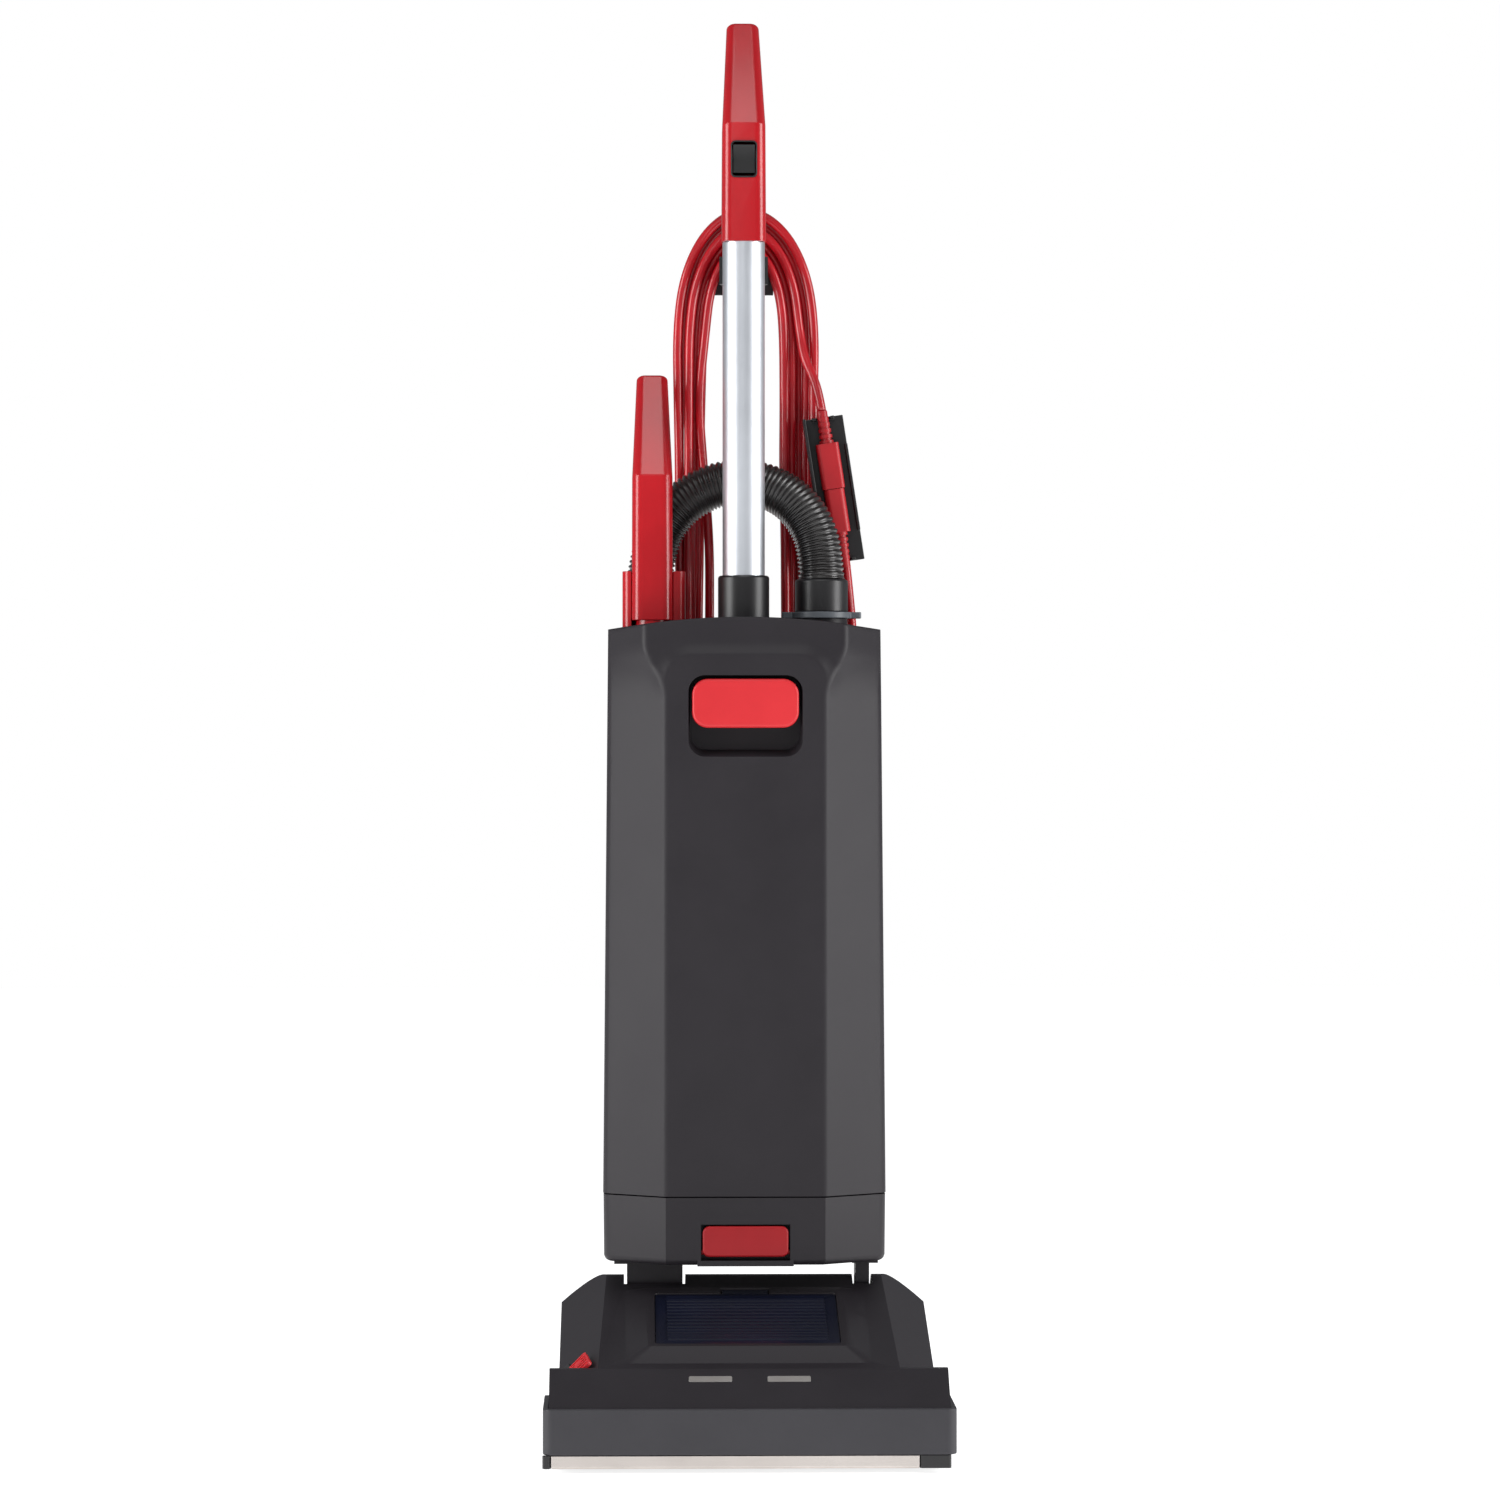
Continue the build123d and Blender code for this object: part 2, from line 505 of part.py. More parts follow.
# ---- upright body -------------------------------------------------------------------
def body_sketch(z, half_width, inset):
    """Plan outline of the upright body at height z, drawn in by inset."""
    with BuildSketch(Plane.XY.offset(z)) as outline:
        with BuildLine():
            Polyline((-HALF_PANEL, 0), (HALF_PANEL, 0), (half_width, CORNER_Y),
                     (half_width - 4, BACK_Y), (-half_width + 4, BACK_Y), (-half_width, CORNER_Y),
                     close=True)
        make_face()
        fillet(outline.vertices().filter_by(lambda v: v.Y > 1), 16)
        if inset:
            offset(amount=-inset, mode=Mode.REPLACE)
    return outline.sketch


def body_form(inset, low, high):
    """Solid form of the body above the parting line, with its crowned top."""
    sagitta = BODY_TOP - SIDE_TOP
    with BuildPart() as form:
        add(body_sketch(low, HALF_LOW, inset))
        add(body_sketch(high, HALF_HIGH, inset))
        loft(ruled=True)
        with BuildSketch(Plane.XZ.offset(-BACK_Y - 5)):
            with BuildLine():
                Polyline((-HALF_HIGH, SIDE_TOP - inset), (-HALF_HIGH - 20, SIDE_TOP - inset - 2),
                         (-HALF_HIGH - 20, low - 5), (HALF_HIGH + 20, low - 5),
                         (HALF_HIGH + 20, SIDE_TOP - inset - 2), (HALF_HIGH, SIDE_TOP - inset))
                ThreePointArc((HALF_HIGH, SIDE_TOP - inset), (0, SIDE_TOP - inset + sagitta),
                              (-HALF_HIGH, SIDE_TOP - inset))
            make_face()
        extrude(amount=BACK_Y + 20, mode=Mode.INTERSECT)
    return form.part


LATCH_HALF, LATCH_Z = 45.5, (612.5, 654.4)
RECESS_HALF, RECESS_Z, RECESS_DEEP = 49.0, (587.0, 657.4), 24.0
DOOR_AXIS = (2.0, PARTING_Z + 2.3)
DOOR_HINGE = (1.6, 215.0)
with BuildPart() as bag_door:
    add(body_form(0, PARTING_Z + 1.0, BODY_TOP + 10))
    add(body_form(WALL, PARTING_Z - 2, BODY_TOP + 10), mode=Mode.SUBTRACT)
    with Locations((0, RECESS_DEEP / 2 + 1.4, sum(RECESS_Z) / 2)):
        Box(2 * RECESS_HALF + 5, RECESS_DEEP + 2.8 - 1, RECESS_Z[1] - RECESS_Z[0] + 5)
    with BuildSketch(Plane.XZ.offset(5)):
        with Locations((0, sum(RECESS_Z) / 2)):
            RectangleRounded(2 * RECESS_HALF, RECESS_Z[1] - RECESS_Z[0], 14.5)
    extrude(amount=-RECESS_DEEP - 5, mode=Mode.SUBTRACT)
    with Locations((0, DOOR_Y - GAP, 0)):
        Box(400, 200, 1600, align=(Align.CENTER, Align.MIN, Align.CENTER), mode=Mode.SUBTRACT)
    # round bead along the bottom edge, which the door rocks forward on
    with Locations((0, DOOR_HINGE[0], DOOR_HINGE[1])):
        Cylinder(1.6, 130, rotation=(0, 90, 0))
save(bag_door, "bag_door")

with BuildPart() as rear_housing:
    add(body_form(0, PARTING_Z + 0.2, BODY_TOP + 10))
    add(body_form(WALL, PARTING_Z - 2, BODY_TOP + 10), mode=Mode.SUBTRACT)
    with Locations((0, DOOR_Y + GAP, 0)):
        Box(400, 200, 1600, align=(Align.CENTER, Align.MAX, Align.CENTER), mode=Mode.SUBTRACT)
    with Locations((0, TUBE_Y, BODY_TOP)):
        Cylinder(TUBE_R, 60, mode=Mode.SUBTRACT)
    with Locations((WAND_X, WAND_Y, SIDE_TOP)):
        Cylinder(16.4, 60, mode=Mode.SUBTRACT)
    # boss round the hose port, up to the lock ring
    with Locations((PORT_X, PORT_Y, SIDE_TOP - 4)):
        Cylinder(22.5, 14, align=(Align.CENTER, Align.CENTER, Align.MIN))
    with Locations((PORT_X, PORT_Y, SIDE_TOP)):
        Cylinder(17, 60, mode=Mode.SUBTRACT)
save(rear_housing, "rear_housing")

FILTER_LATCH_HALF, FILTER_LATCH_Z = 36.5, (162.2, 188.4)
LEG_TOP = BODY_Z0 + 2
with BuildPart() as lower_housing:
    add(body_sketch(BODY_Z0, HALF_LOW - 0.5, 0))
    add(body_sketch(PARTING_Z, HALF_LOW, 0))
    loft(ruled=True)
    fillet(lower_housing.edges().group_by(Axis.Z)[0], 6)
    add(body_sketch(BODY_Z0 + WALL, HALF_LOW - 0.5, WALL))
    extrude(amount=80, mode=Mode.SUBTRACT)
    with Locations((0, 7.2, sum(FILTER_LATCH_Z) / 2 - 1)):
        Box(2 * FILTER_LATCH_HALF + 9, 14.2, FILTER_LATCH_Z[1] - FILTER_LATCH_Z[0] + 14)
    with BuildSketch(Plane.XZ.offset(5)):
        with Locations((0, sum(FILTER_LATCH_Z) / 2 - 0.9)):
            Rectangle(2 * FILTER_LATCH_HALF + 3, FILTER_LATCH_Z[1] - FILTER_LATCH_Z[0] + 4.6)
    extrude(amount=-16.5, mode=Mode.SUBTRACT)
    # lugs under the body, then the legs with their round ends
    for low, high, depth in ((-112.0, -53.7, 34), (93.4, 115.8, 24)):
        with Locations(((low + high) / 2, PIVOT_Y, BODY_Z0 + 1)):
            Box(high - low, depth, 5.4, align=(Align.CENTER, Align.CENTER, Align.MAX))
    for low, high in (LEG_L, LEG_R):
        with BuildSketch(Plane.YZ.offset(low)):
            with Locations((PIVOT_Y, PIVOT_Z)):
                Circle(17)
            with Locations((PIVOT_Y, PIVOT_Z)):
                Rectangle(34, BODY_Z0 + 1 - PIVOT_Z, align=(Align.CENTER, Align.MIN))
        extrude(amount=high - low)
    # air passage up the left leg
    with Locations((sum(LEG_L) / 2, PIVOT_Y, PIVOT_Z + 8)):
        Box(LEG_L[1] - LEG_L[0] - 7, 27, 80, align=(Align.CENTER, Align.CENTER, Align.MIN), mode=Mode.SUBTRACT)
    with Locations(Location((0, PIVOT_Y, PIVOT_Z), (0, 90, 0))):
        Cylinder(PIN_R + 0.06, 400, mode=Mode.SUBTRACT)
save(lower_housing, "lower_housing")

# ---- latches ------------------------------------------------------------------------
LATCH_AXIS = (5.0, 649.0)
with BuildPart() as door_latch:
    with BuildSketch(Plane.XZ.offset(1.2)):
        with Locations((0, sum(LATCH_Z) / 2)):
            RectangleRounded(2 * LATCH_HALF, LATCH_Z[1] - LATCH_Z[0], 13.6)
    extrude(amount=-11.5)
    fillet(door_latch.faces().sort_by(Axis.Y)[0].edges(), 2.6)
    with Locations((0, LATCH_AXIS[0], LATCH_AXIS[1])):
        Cylinder(2.5, 2 * RECESS_HALF - 6.6, rotation=(0, 90, 0))
save(door_latch, "door_latch")

FILTER_LATCH_AXIS = (5.0, 166.0)
with BuildPart() as filter_latch:
    with BuildSketch(Plane.XZ.offset(1.0)):
        with Locations((0, sum(FILTER_LATCH_Z) / 2)):
            RectangleRounded(2 * FILTER_LATCH_HALF, FILTER_LATCH_Z[1] - FILTER_LATCH_Z[0], 6)
    extrude(amount=-8.5)
    fillet(filter_latch.faces().sort_by(Axis.Y)[0].edges(), 2)
    with Locations((0, FILTER_LATCH_AXIS[0], FILTER_LATCH_AXIS[1])):
        Cylinder(2, 2 * FILTER_LATCH_HALF + 2, rotation=(0, 90, 0))
save(filter_latch, "filter_latch")

# ---- inside the body: bag, its dock, motor filter -----------------------------------
BAG_Y = 46.0                     # middle of the bag, front to back
with BuildPart() as dust_bag:
    with Locations((0, BAG_Y, 410)):
        Box(168, 44, 350)
    fillet(dust_bag.edges(), 16)
save(dust_bag, "dust_bag")

with BuildPart() as bag_dock:
    with Locations((0, 81, 604)):
        Box(110, 102, 12)
    with Locations((0, BAG_Y + 6, 604)):
        Cylinder(17, 40, mode=Mode.SUBTRACT)
save(bag_dock, "bag_dock")

with BuildPart() as bag_collar:
    with Locations((0, BAG_Y + 6, 592.4)):
        Box(80, 44, 3)
        Cylinder(16, 40, mode=Mode.SUBTRACT)
save(bag_collar, "bag_collar")

with BuildPart() as motor_filter:
    with Locations((0, 72, 186)):
        Box(150, 90, 26)
    fillet(motor_filter.edges().filter_by(Axis.Z), 8)
save(motor_filter, "motor_filter")

with BuildPart() as wand_well:
    with Locations((WAND_X, WAND_Y, 450)):
        Cylinder(20, 244, align=(Align.CENTER, Align.CENTER, Align.MIN))
    with Locations((WAND_X, WAND_Y, 453)):
        Cylinder(17, 300, align=(Align.CENTER, Align.CENTER, Align.MIN), mode=Mode.SUBTRACT)
save(wand_well, "wand_well")

# ---- handle -------------------------------------------------------------------------
with BuildPart() as tube_collar:
    with BuildSketch(Plane.XY.offset(BODY_TOP - 1.2)):
        with Locations((0, TUBE_Y)):
            Circle(COLLAR_R)
            Circle(TUBE_R, mode=Mode.SUBTRACT)
    extrude(amount=COLLAR_TOP - BODY_TOP + 1.2)
    chamfer(tube_collar.edges().group_by(Axis.Z)[-1].sort_by(SortBy.RADIUS)[-1], 1.5)
    add(body_form(0, 500, BODY_TOP + 10), mode=Mode.SUBTRACT)
save(tube_collar, "tube_collar")

GRIP_WALL = 2.6
with BuildPart() as handle_tube:
    with BuildSketch(Plane.XY.offset(640)):
        with Locations((0, TUBE_Y)):
            Circle(TUBE_R)
            Circle(TUBE_IN, mode=Mode.SUBTRACT)
    extrude(amount=GRIP_Z - 640)
    with BuildSketch(Plane.XY.offset(GRIP_Z)):
        with Locations((0, TUBE_Y)):
            Circle(15.0)
            Circle(13.4, mode=Mode.SUBTRACT)
    extrude(amount=40)
    with BuildSketch(Plane.XY.offset(GRIP_Z - 4)):
        with Locations((0, TUBE_Y)):
            Circle(TUBE_IN + 0.2)
            Circle(13.4, mode=Mode.SUBTRACT)
    extrude(amount=4)
save(handle_tube, "handle_tube")


def grip_form(x, y, stations, inset):
    """Solid handle grip lofted through stations of (z, width, depth), leaning back above its bend."""
    lean = math.radians(GRIP_TILT)
    bend_z = stations[1][0]
    with BuildPart() as form:
        for number, (z, width, depth) in enumerate(stations):
            if number == 0:
                plane = Plane(origin=(x, y, z), x_dir=(1, 0, 0), z_dir=(0, 0, 1))
            elif number == 1:
                plane = Plane(origin=(x, y, z), x_dir=(1, 0, 0),
                              z_dir=(0, math.sin(lean / 2), math.cos(lean / 2)))
            else:
                reach = (z - bend_z) * math.tan(lean)
                plane = Plane(origin=(x, y + reach, z), x_dir=(1, 0, 0),
                              z_dir=(0, math.sin(lean), math.cos(lean)))
            with BuildSketch(plane):
                RectangleRounded(width - 2 * inset, depth - 2 * inset, min(9.5, depth / 3) - inset)
        loft(ruled=True)
    return form.part


GRIP_STATIONS = [(GRIP_Z, 38.4, 37), (BEND_Z, 37.4, 35), (GRIP_TOP - 5, 28, 24)]
SWITCH_MID = sum(SWITCH_Z) / 2
GRIP_FRONT = TUBE_Y - 18.0


def grip_half(front):
    """One moulded half of the handle grip, split along the grip's middle surface."""
    lean = math.radians(GRIP_TILT)
    reach = (GRIP_TOP + 30 - BEND_Z) * math.tan(lean)
    edge = TUBE_Y - 0.15 if front else TUBE_Y + 0.15
    far = -200 if front else 300
    with BuildPart() as half:
        add(grip_form(0, TUBE_Y, GRIP_STATIONS, 0))
        fillet(half.faces().sort_by(Axis.Z)[-1].edges(), 3)
        inner = [(GRIP_Z - 0.01, 38.4, 37), GRIP_STATIONS[1], (GRIP_TOP - 9, 28, 24)]
        add(grip_form(0, TUBE_Y, inner, GRIP_WALL), mode=Mode.SUBTRACT)
        with BuildSketch(Plane.YZ.offset(-60)):
            with BuildLine():
                Polyline((edge, GRIP_Z - 20), (edge, BEND_Z), (edge + reach, GRIP_TOP + 30),
                         (far, GRIP_TOP + 30), (far, GRIP_Z - 20), close=True)
            make_face()
        extrude(amount=120, mode=Mode.INTERSECT)
        if front:
            with BuildSketch(Plane.XZ.offset(-TUBE_Y)):
                with Locations((0, SWITCH_MID)):
                    RectangleRounded(23, SWITCH_Z[1] - SWITCH_Z[0] + 2, 4)
            extrude(amount=40, mode=Mode.SUBTRACT)
    return half


save(grip_half(True), "grip_front")
save(grip_half(False), "grip_rear")

with BuildPart() as switch_bezel:
    with BuildSketch(Plane.XZ.offset(-GRIP_FRONT - 6)):
        with Locations((0, SWITCH_MID)):
            RectangleRounded(22.6, SWITCH_Z[1] - SWITCH_Z[0] + 1.6, 3.8)
            RectangleRounded(20.4, SWITCH_Z[1] - SWITCH_Z[0] - 0.8, 3, mode=Mode.SUBTRACT)
    extrude(amount=7)
save(switch_bezel, "switch_bezel")

SWITCH_AXIS_Y = 68.0
with BuildPart() as power_switch:
    with BuildSketch(Plane.YZ.offset(-9.6)):
        with BuildLine():
            Polyline((GRIP_FRONT - 0.6, SWITCH_MID - 12.6), (GRIP_FRONT + 1.4, SWITCH_MID),
                     (GRIP_FRONT - 2.4, SWITCH_MID + 12.6), (GRIP_FRONT + 7, SWITCH_MID + 12.6),
                     (GRIP_FRONT + 11, SWITCH_MID), (GRIP_FRONT + 7, SWITCH_MID - 12.6), close=True)
        make_face()
    extrude(amount=19.2)
    with Locations((0, SWITCH_AXIS_Y, SWITCH_MID)):
        Cylinder(2.2, 20, rotation=(0, 90, 0))
save(power_switch, "power_switch")

# ---- cord hooks ---------------------------------------------------------------------
with BuildPart() as hook_mount:
    with BuildSketch(Plane.XY.offset(HOOK_Z - 12)):
        with Locations((0, TUBE_Y)):
            Circle(TUBE_R + 3)
    extrude(amount=24)
    with Locations(Location((0, TUBE_Y + 30, HOOK_Z), (90, 0, 0))):
        Cylinder(10, 34)
    with Locations(Location((0, TUBE_Y + 52, HOOK_Z), (90, 0, 0))):
        Cylinder(5, 40)
    with Locations((0, TUBE_Y, HOOK_Z)):
        Cylinder(TUBE_R, 60, mode=Mode.SUBTRACT)
    # a saddle behind the tube only
    with Locations((0, TUBE_Y + 3, HOOK_Z)):
        Box(80, 60, 60, align=(Align.CENTER, Align.MAX, Align.CENTER), mode=Mode.SUBTRACT)
save(hook_mount, "hook_mount")


def saddle(y0, y1, z, keep_top):
    """Half-round saddle that carries the cord's turns, with a lip at its end."""
    keep = Align.MAX if keep_top else Align.MIN
    toward = -1 if keep_top else 1
    with BuildPart() as form:
        with BuildSketch(Plane.XZ.offset(-y0)):
            with Locations((0, z)):
                Circle(HOOK_R)
                Circle(HOOK_R - 4, mode=Mode.SUBTRACT)
            with Locations((0, z + toward * 6)):
                Rectangle(60, 60, align=(Align.CENTER, keep), mode=Mode.SUBTRACT)
        extrude(amount=-(y1 - y0))
        with BuildSketch(Plane.XZ.offset(-y1 + 3.6)):
            with Locations((0, z)):
                RectangleRounded(56, 54, 10)
            with Locations((0, z + toward * 14)):
                Rectangle(80, 60, align=(Align.CENTER, keep), mode=Mode.SUBTRACT)
        extrude(amount=-3.6)
    return form.part


with BuildPart() as top_cord_hook:
    add(saddle(TUBE_Y + 49, 176, HOOK_Z, True))
    with Locations(Location((0, TUBE_Y + 57, HOOK_Z), (90, 0, 0))):
        Cylinder(HOOK_R - 2, 12)
        Cylinder(5.06, 60, mode=Mode.SUBTRACT)
save(top_cord_hook, "top_cord_hook")

with BuildPart() as low_cord_hook:
    add(saddle(BACK_Y + 0.1, 176, LOW_HOOK_Z, False))
    with Locations(Location((0, BACK_Y + 4.1, LOW_HOOK_Z), (90, 0, 0))):
        Cylinder(HOOK_R - 1, 8)
save(low_cord_hook, "low_cord_hook")

# ---- stored wand --------------------------------------------------------------------
WAND_STATIONS = [(WAND_Z, 35.6, 32), (WAND_BEND, 35, 31), (WAND_TOP - 4, 27, 22)]
with BuildPart() as wand_grip:
    add(grip_form(WAND_X, WAND_Y, WAND_STATIONS, 0))
    fillet(wand_grip.faces().sort_by(Axis.Z)[-1].edges(), 3)
    with Locations((WAND_X, WAND_Y, WAND_Z)):
        Cylinder(15.0, 120, mode=Mode.SUBTRACT)
save(wand_grip, "wand_grip")

with BuildPart() as wand_tube:
    with Locations((WAND_X, WAND_Y, 456)):
        Cylinder(15, 300, align=(Align.CENTER, Align.CENTER, Align.MIN))
        Cylinder(13.4, 300, align=(Align.CENTER, Align.CENTER, Align.MIN), mode=Mode.SUBTRACT)
save(wand_tube, "wand_tube")

with BuildPart() as wand_socket:
    with BuildSketch(Plane.XY.offset(SIDE_TOP)):
        with Locations((WAND_X + 1.5, WAND_Y + 6)):
            RectangleRounded(54.8, 28, 8)
        with Locations((WAND_X, WAND_Y - 20)):
            Rectangle(36.2, 24, align=(Align.CENTER, Align.MIN), mode=Mode.SUBTRACT)
        with Locations((WAND_X, WAND_Y)):
            RectangleRounded(36.2, 32.6, 8, mode=Mode.SUBTRACT)
    extrude(amount=51)
    add(body_form(0, 500, BODY_TOP + 10), mode=Mode.SUBTRACT)
save(wand_socket, "wand_socket")

# ---- hose and its fittings ----------------------------------------------------------
with BuildPart() as hose_cuff:
    with BuildSketch(Plane.XY.offset(660)):
        with Locations((PORT_X, PORT_Y)):
            Circle(17)
            Circle(14, mode=Mode.SUBTRACT)
    extrude(amount=56)
    with BuildSketch(Plane.XY.offset(713.8)):
        with Locations((PORT_X, PORT_Y)):
            Circle(23)
            Circle(14, mode=Mode.SUBTRACT)
    extrude(amount=CUFF_TOP - 713.8)
    chamfer(hose_cuff.edges().group_by(Axis.Z)[-1].sort_by(SortBy.RADIUS)[-1], 1.5)
save(hose_cuff, "hose_cuff")

with BuildPart() as hose_lock_ring:
    with BuildSketch(Plane.XY.offset(708.0)):
        with Locations((PORT_X, PORT_Y)):
            Circle(26)
        for end in (-28.5, 28.5):
            with Locations((PORT_X + end, PORT_Y)):
                RectangleRounded(12, 12, 2)
        with Locations((PORT_X, PORT_Y)):
            Circle(17.06, mode=Mode.SUBTRACT)
    extrude(amount=5.5)
save(hose_lock_ring, "hose_lock_ring")

END_CUFF_Z = 706.0
with BuildPart() as hose_end_cuff:
    with BuildSketch(Plane.XY.offset(END_CUFF_Z)):
        with Locations(HOSE_END[:2]):
            Circle(22.5)
    extrude(amount=HOSE_END[2] - END_CUFF_Z)
    chamfer(hose_end_cuff.edges().group_by(Axis.Z)[-1], 1.5)
    with Locations((HOSE_END[0], WAND_Y + 20.2, SIDE_TOP)):
        Box(80, 40, 100, align=(Align.CENTER, Align.MAX, Align.MIN), mode=Mode.SUBTRACT)
save(hose_end_cuff, "hose_end_cuff")

route_tube(HOSE_ROUTE, HOSE_D, "hose")

# ---- mains lead ---------------------------------------------------------------------
INLET = PIGTAIL_ROUTE[0]
with BuildPart() as cord_inlet:
    with BuildSketch(Plane.XY.offset(604)):
        with Locations((INLET[0], BACK_Y + 0.1)):
            RectangleRounded(20, 24, 4, align=(Align.CENTER, Align.MIN))
    extrude(amount=36)
    with BuildSketch(Plane.XY.offset(640)):
        with Locations(INLET[:2]):
            Circle(7)
    with BuildSketch(Plane.XY.offset(INLET[2])):
        with Locations(INLET[:2]):
            Circle(5)
    loft()
save(cord_inlet, "cord_inlet")

route_tube(PIGTAIL_ROUTE, CORD_D, "pigtail_cord")
route_tube(LEAD_ROUTE, CORD_D, "main_cord_lead")
route_tube(TAIL_ROUTE, CORD_D, "main_cord_tail")

COIL_TOP, COIL_BOTTOM = 1073.0, 406.0
with BuildPart() as main_cord_coil:
    with BuildSketch(Plane.XZ.offset(-COIL_Y[0])):
        for half_high, half_low, top, bottom, rise, drop, mode in (
            (65.0, 60.0, 963.0, 466.0, COIL_TOP - 963.0, 466.0 - COIL_BOTTOM, Mode.ADD),
            (30.0, 32.0, 993.0, 466.0, 40.0, 26.0, Mode.SUBTRACT),
        ):
            with BuildLine():
                EllipticalCenterArc((3, top), half_high, rise, start_angle=0, arc_size=180)
                Line((3 - half_high, top), (3 - half_low, bottom))
                EllipticalCenterArc((3, bottom), half_low, drop, start_angle=180, arc_size=180)
                Line((3 + half_low, bottom), (3 + half_high, top))
            make_face(mode=mode)
    extrude(amount=-(COIL_Y[1] - COIL_Y[0]))
save(main_cord_coil, "main_cord_coil")

# connector in its guard: a tilted frame, long axis leaning to the left at the top
CONNECTOR_TILT = math.radians(8.7)
connector = Plane(origin=(80, 134, 822), x_dir=(math.cos(CONNECTOR_TILT), 0, math.sin(CONNECTOR_TILT)),
                  z_dir=(-math.sin(CONNECTOR_TILT), 0, math.cos(CONNECTOR_TILT)))
GUARD = (36.0, 23.0, 128.0)


def on_connector(x, y, z, width, depth, height, mode=Mode.ADD):
    """Adds a box in the connector's own tilted frame."""
    with Locations(connector.location * Location((x, y, z))):
        Box(width, depth, height, mode=mode)


with BuildPart() as connector_guard:
    on_connector(0, 0, 0, *GUARD)
    on_connector(1.2, -2.6, 0, GUARD[0] - 2.4, GUARD[1], GUARD[2] + 4, mode=Mode.SUBTRACT)
    on_connector(GUARD[0] / 2 - 1.2, 6, 0, 2.4, 10, GUARD[2] * 0.6)
    for end in (-1, 1):
        on_connector(0, 4, end * (GUARD[2] / 2 - 1.2), 20, 12, 2.4)
        with Locations(connector.location):
            Cylinder(6.6, 200, mode=Mode.SUBTRACT)
save(connector_guard, "connector_guard")

with BuildPart() as cord_socket:
    with BuildSketch(connector.offset(0.2)):
        RectangleRounded(20, 17, 4)
    extrude(amount=40)
    for rib in range(5):
        with BuildSketch(connector.offset(40 + rib * 5.2)):
            Circle(6.2 - 0.3 * rib)
        extrude(amount=3)
    with BuildSketch(connector.offset(40)):
        Circle(4.6)
    extrude(amount=29.2)
save(cord_socket, "cord_socket")

with BuildPart() as cord_plug:
    with BuildSketch(connector.offset(-0.2)):
        RectangleRounded(18, 16, 5)
    extrude(amount=-38)
    for rib in range(5):
        with BuildSketch(connector.offset(-38 - rib * 5.2)):
            Circle(6.2 - 0.3 * rib)
        extrude(amount=-3)
    with BuildSketch(connector.offset(-38)):
        Circle(4.6)
    extrude(amount=-31.2)
save(cord_plug, "cord_plug")

with BuildPart() as mains_plug:
    with BuildSketch(Plane.XY.offset(TAIL_ROUTE[1][2])):
        with Locations(TAIL_ROUTE[1][:2]):
            Circle(6)
    with BuildSketch(Plane.XY.offset(TAIL_ROUTE[1][2] - 26)):
        with Locations(TAIL_ROUTE[1][:2]):
            Circle(13)
    loft()
    with BuildSketch(Plane.XY.offset(TAIL_ROUTE[1][2] - 26)):
        with Locations(TAIL_ROUTE[1][:2]):
            Circle(13)
    extrude(amount=-8)
    for side in (-6.35, 6.35):
        with Locations((TAIL_ROUTE[1][0] + side, TAIL_ROUTE[1][1], TAIL_ROUTE[1][2] - 34)):
            Box(1.6, 6.4, 17, align=(Align.CENTER, Align.CENTER, Align.MAX))
save(mains_plug, "mains_plug")
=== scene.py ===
"""Looks of a commercial upright vacuum cleaner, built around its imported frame.

Sizes are millimetres in the machine's own frame: +X to the right as it is faced, -Y to the nose, +Z up.
Cords and Studio work in metres. Meshes are worked out as numpy arrays and written in metres.
"""

import json
import logging
import math
from dataclasses import dataclass
from enum import Enum
from typing import Any, Optional, Sequence

import bmesh
import bpy
import numpy as np
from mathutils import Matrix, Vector

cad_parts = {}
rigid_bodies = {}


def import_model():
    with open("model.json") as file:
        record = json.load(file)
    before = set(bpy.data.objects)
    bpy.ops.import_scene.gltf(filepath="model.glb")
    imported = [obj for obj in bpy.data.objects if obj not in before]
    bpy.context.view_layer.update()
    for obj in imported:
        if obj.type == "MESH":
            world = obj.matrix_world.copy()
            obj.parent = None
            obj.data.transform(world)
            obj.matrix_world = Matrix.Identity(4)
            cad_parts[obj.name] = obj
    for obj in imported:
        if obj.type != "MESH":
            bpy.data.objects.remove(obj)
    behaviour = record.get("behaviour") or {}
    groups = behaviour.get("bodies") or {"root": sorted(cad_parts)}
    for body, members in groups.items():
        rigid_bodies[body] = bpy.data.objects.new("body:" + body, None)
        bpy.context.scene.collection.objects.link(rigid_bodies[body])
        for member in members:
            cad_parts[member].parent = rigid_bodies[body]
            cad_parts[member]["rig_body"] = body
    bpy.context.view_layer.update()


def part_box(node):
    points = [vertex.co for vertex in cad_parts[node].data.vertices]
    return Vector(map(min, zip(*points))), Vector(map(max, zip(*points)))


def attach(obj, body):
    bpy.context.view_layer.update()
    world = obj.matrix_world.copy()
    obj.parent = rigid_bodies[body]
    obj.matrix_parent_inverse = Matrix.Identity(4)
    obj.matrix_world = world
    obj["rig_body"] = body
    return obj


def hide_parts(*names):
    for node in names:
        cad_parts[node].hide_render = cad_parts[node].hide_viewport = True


MM = 0.001
Array = np.ndarray

log = logging.getLogger("vacuum")


# ---- numbers ------------------------------------------------------------------------
def linear(hex_colour: str) -> tuple[float, float, float, float]:
    """Turns an sRGB hex colour into linear values.

    Args:
        hex_colour: Six hex digits, with or without a leading hash.

    Returns:
        Linear red, green, blue and an alpha of one.
    """
    digits = hex_colour.lstrip("#")
    srgb = np.array([int(digits[i : i + 2], 16) for i in (0, 2, 4)]) / 255
    value = np.where(srgb <= 0.04045, srgb / 12.92, ((srgb + 0.055) / 1.055) ** 2.4)
    return (float(value[0]), float(value[1]), float(value[2]), 1.0)


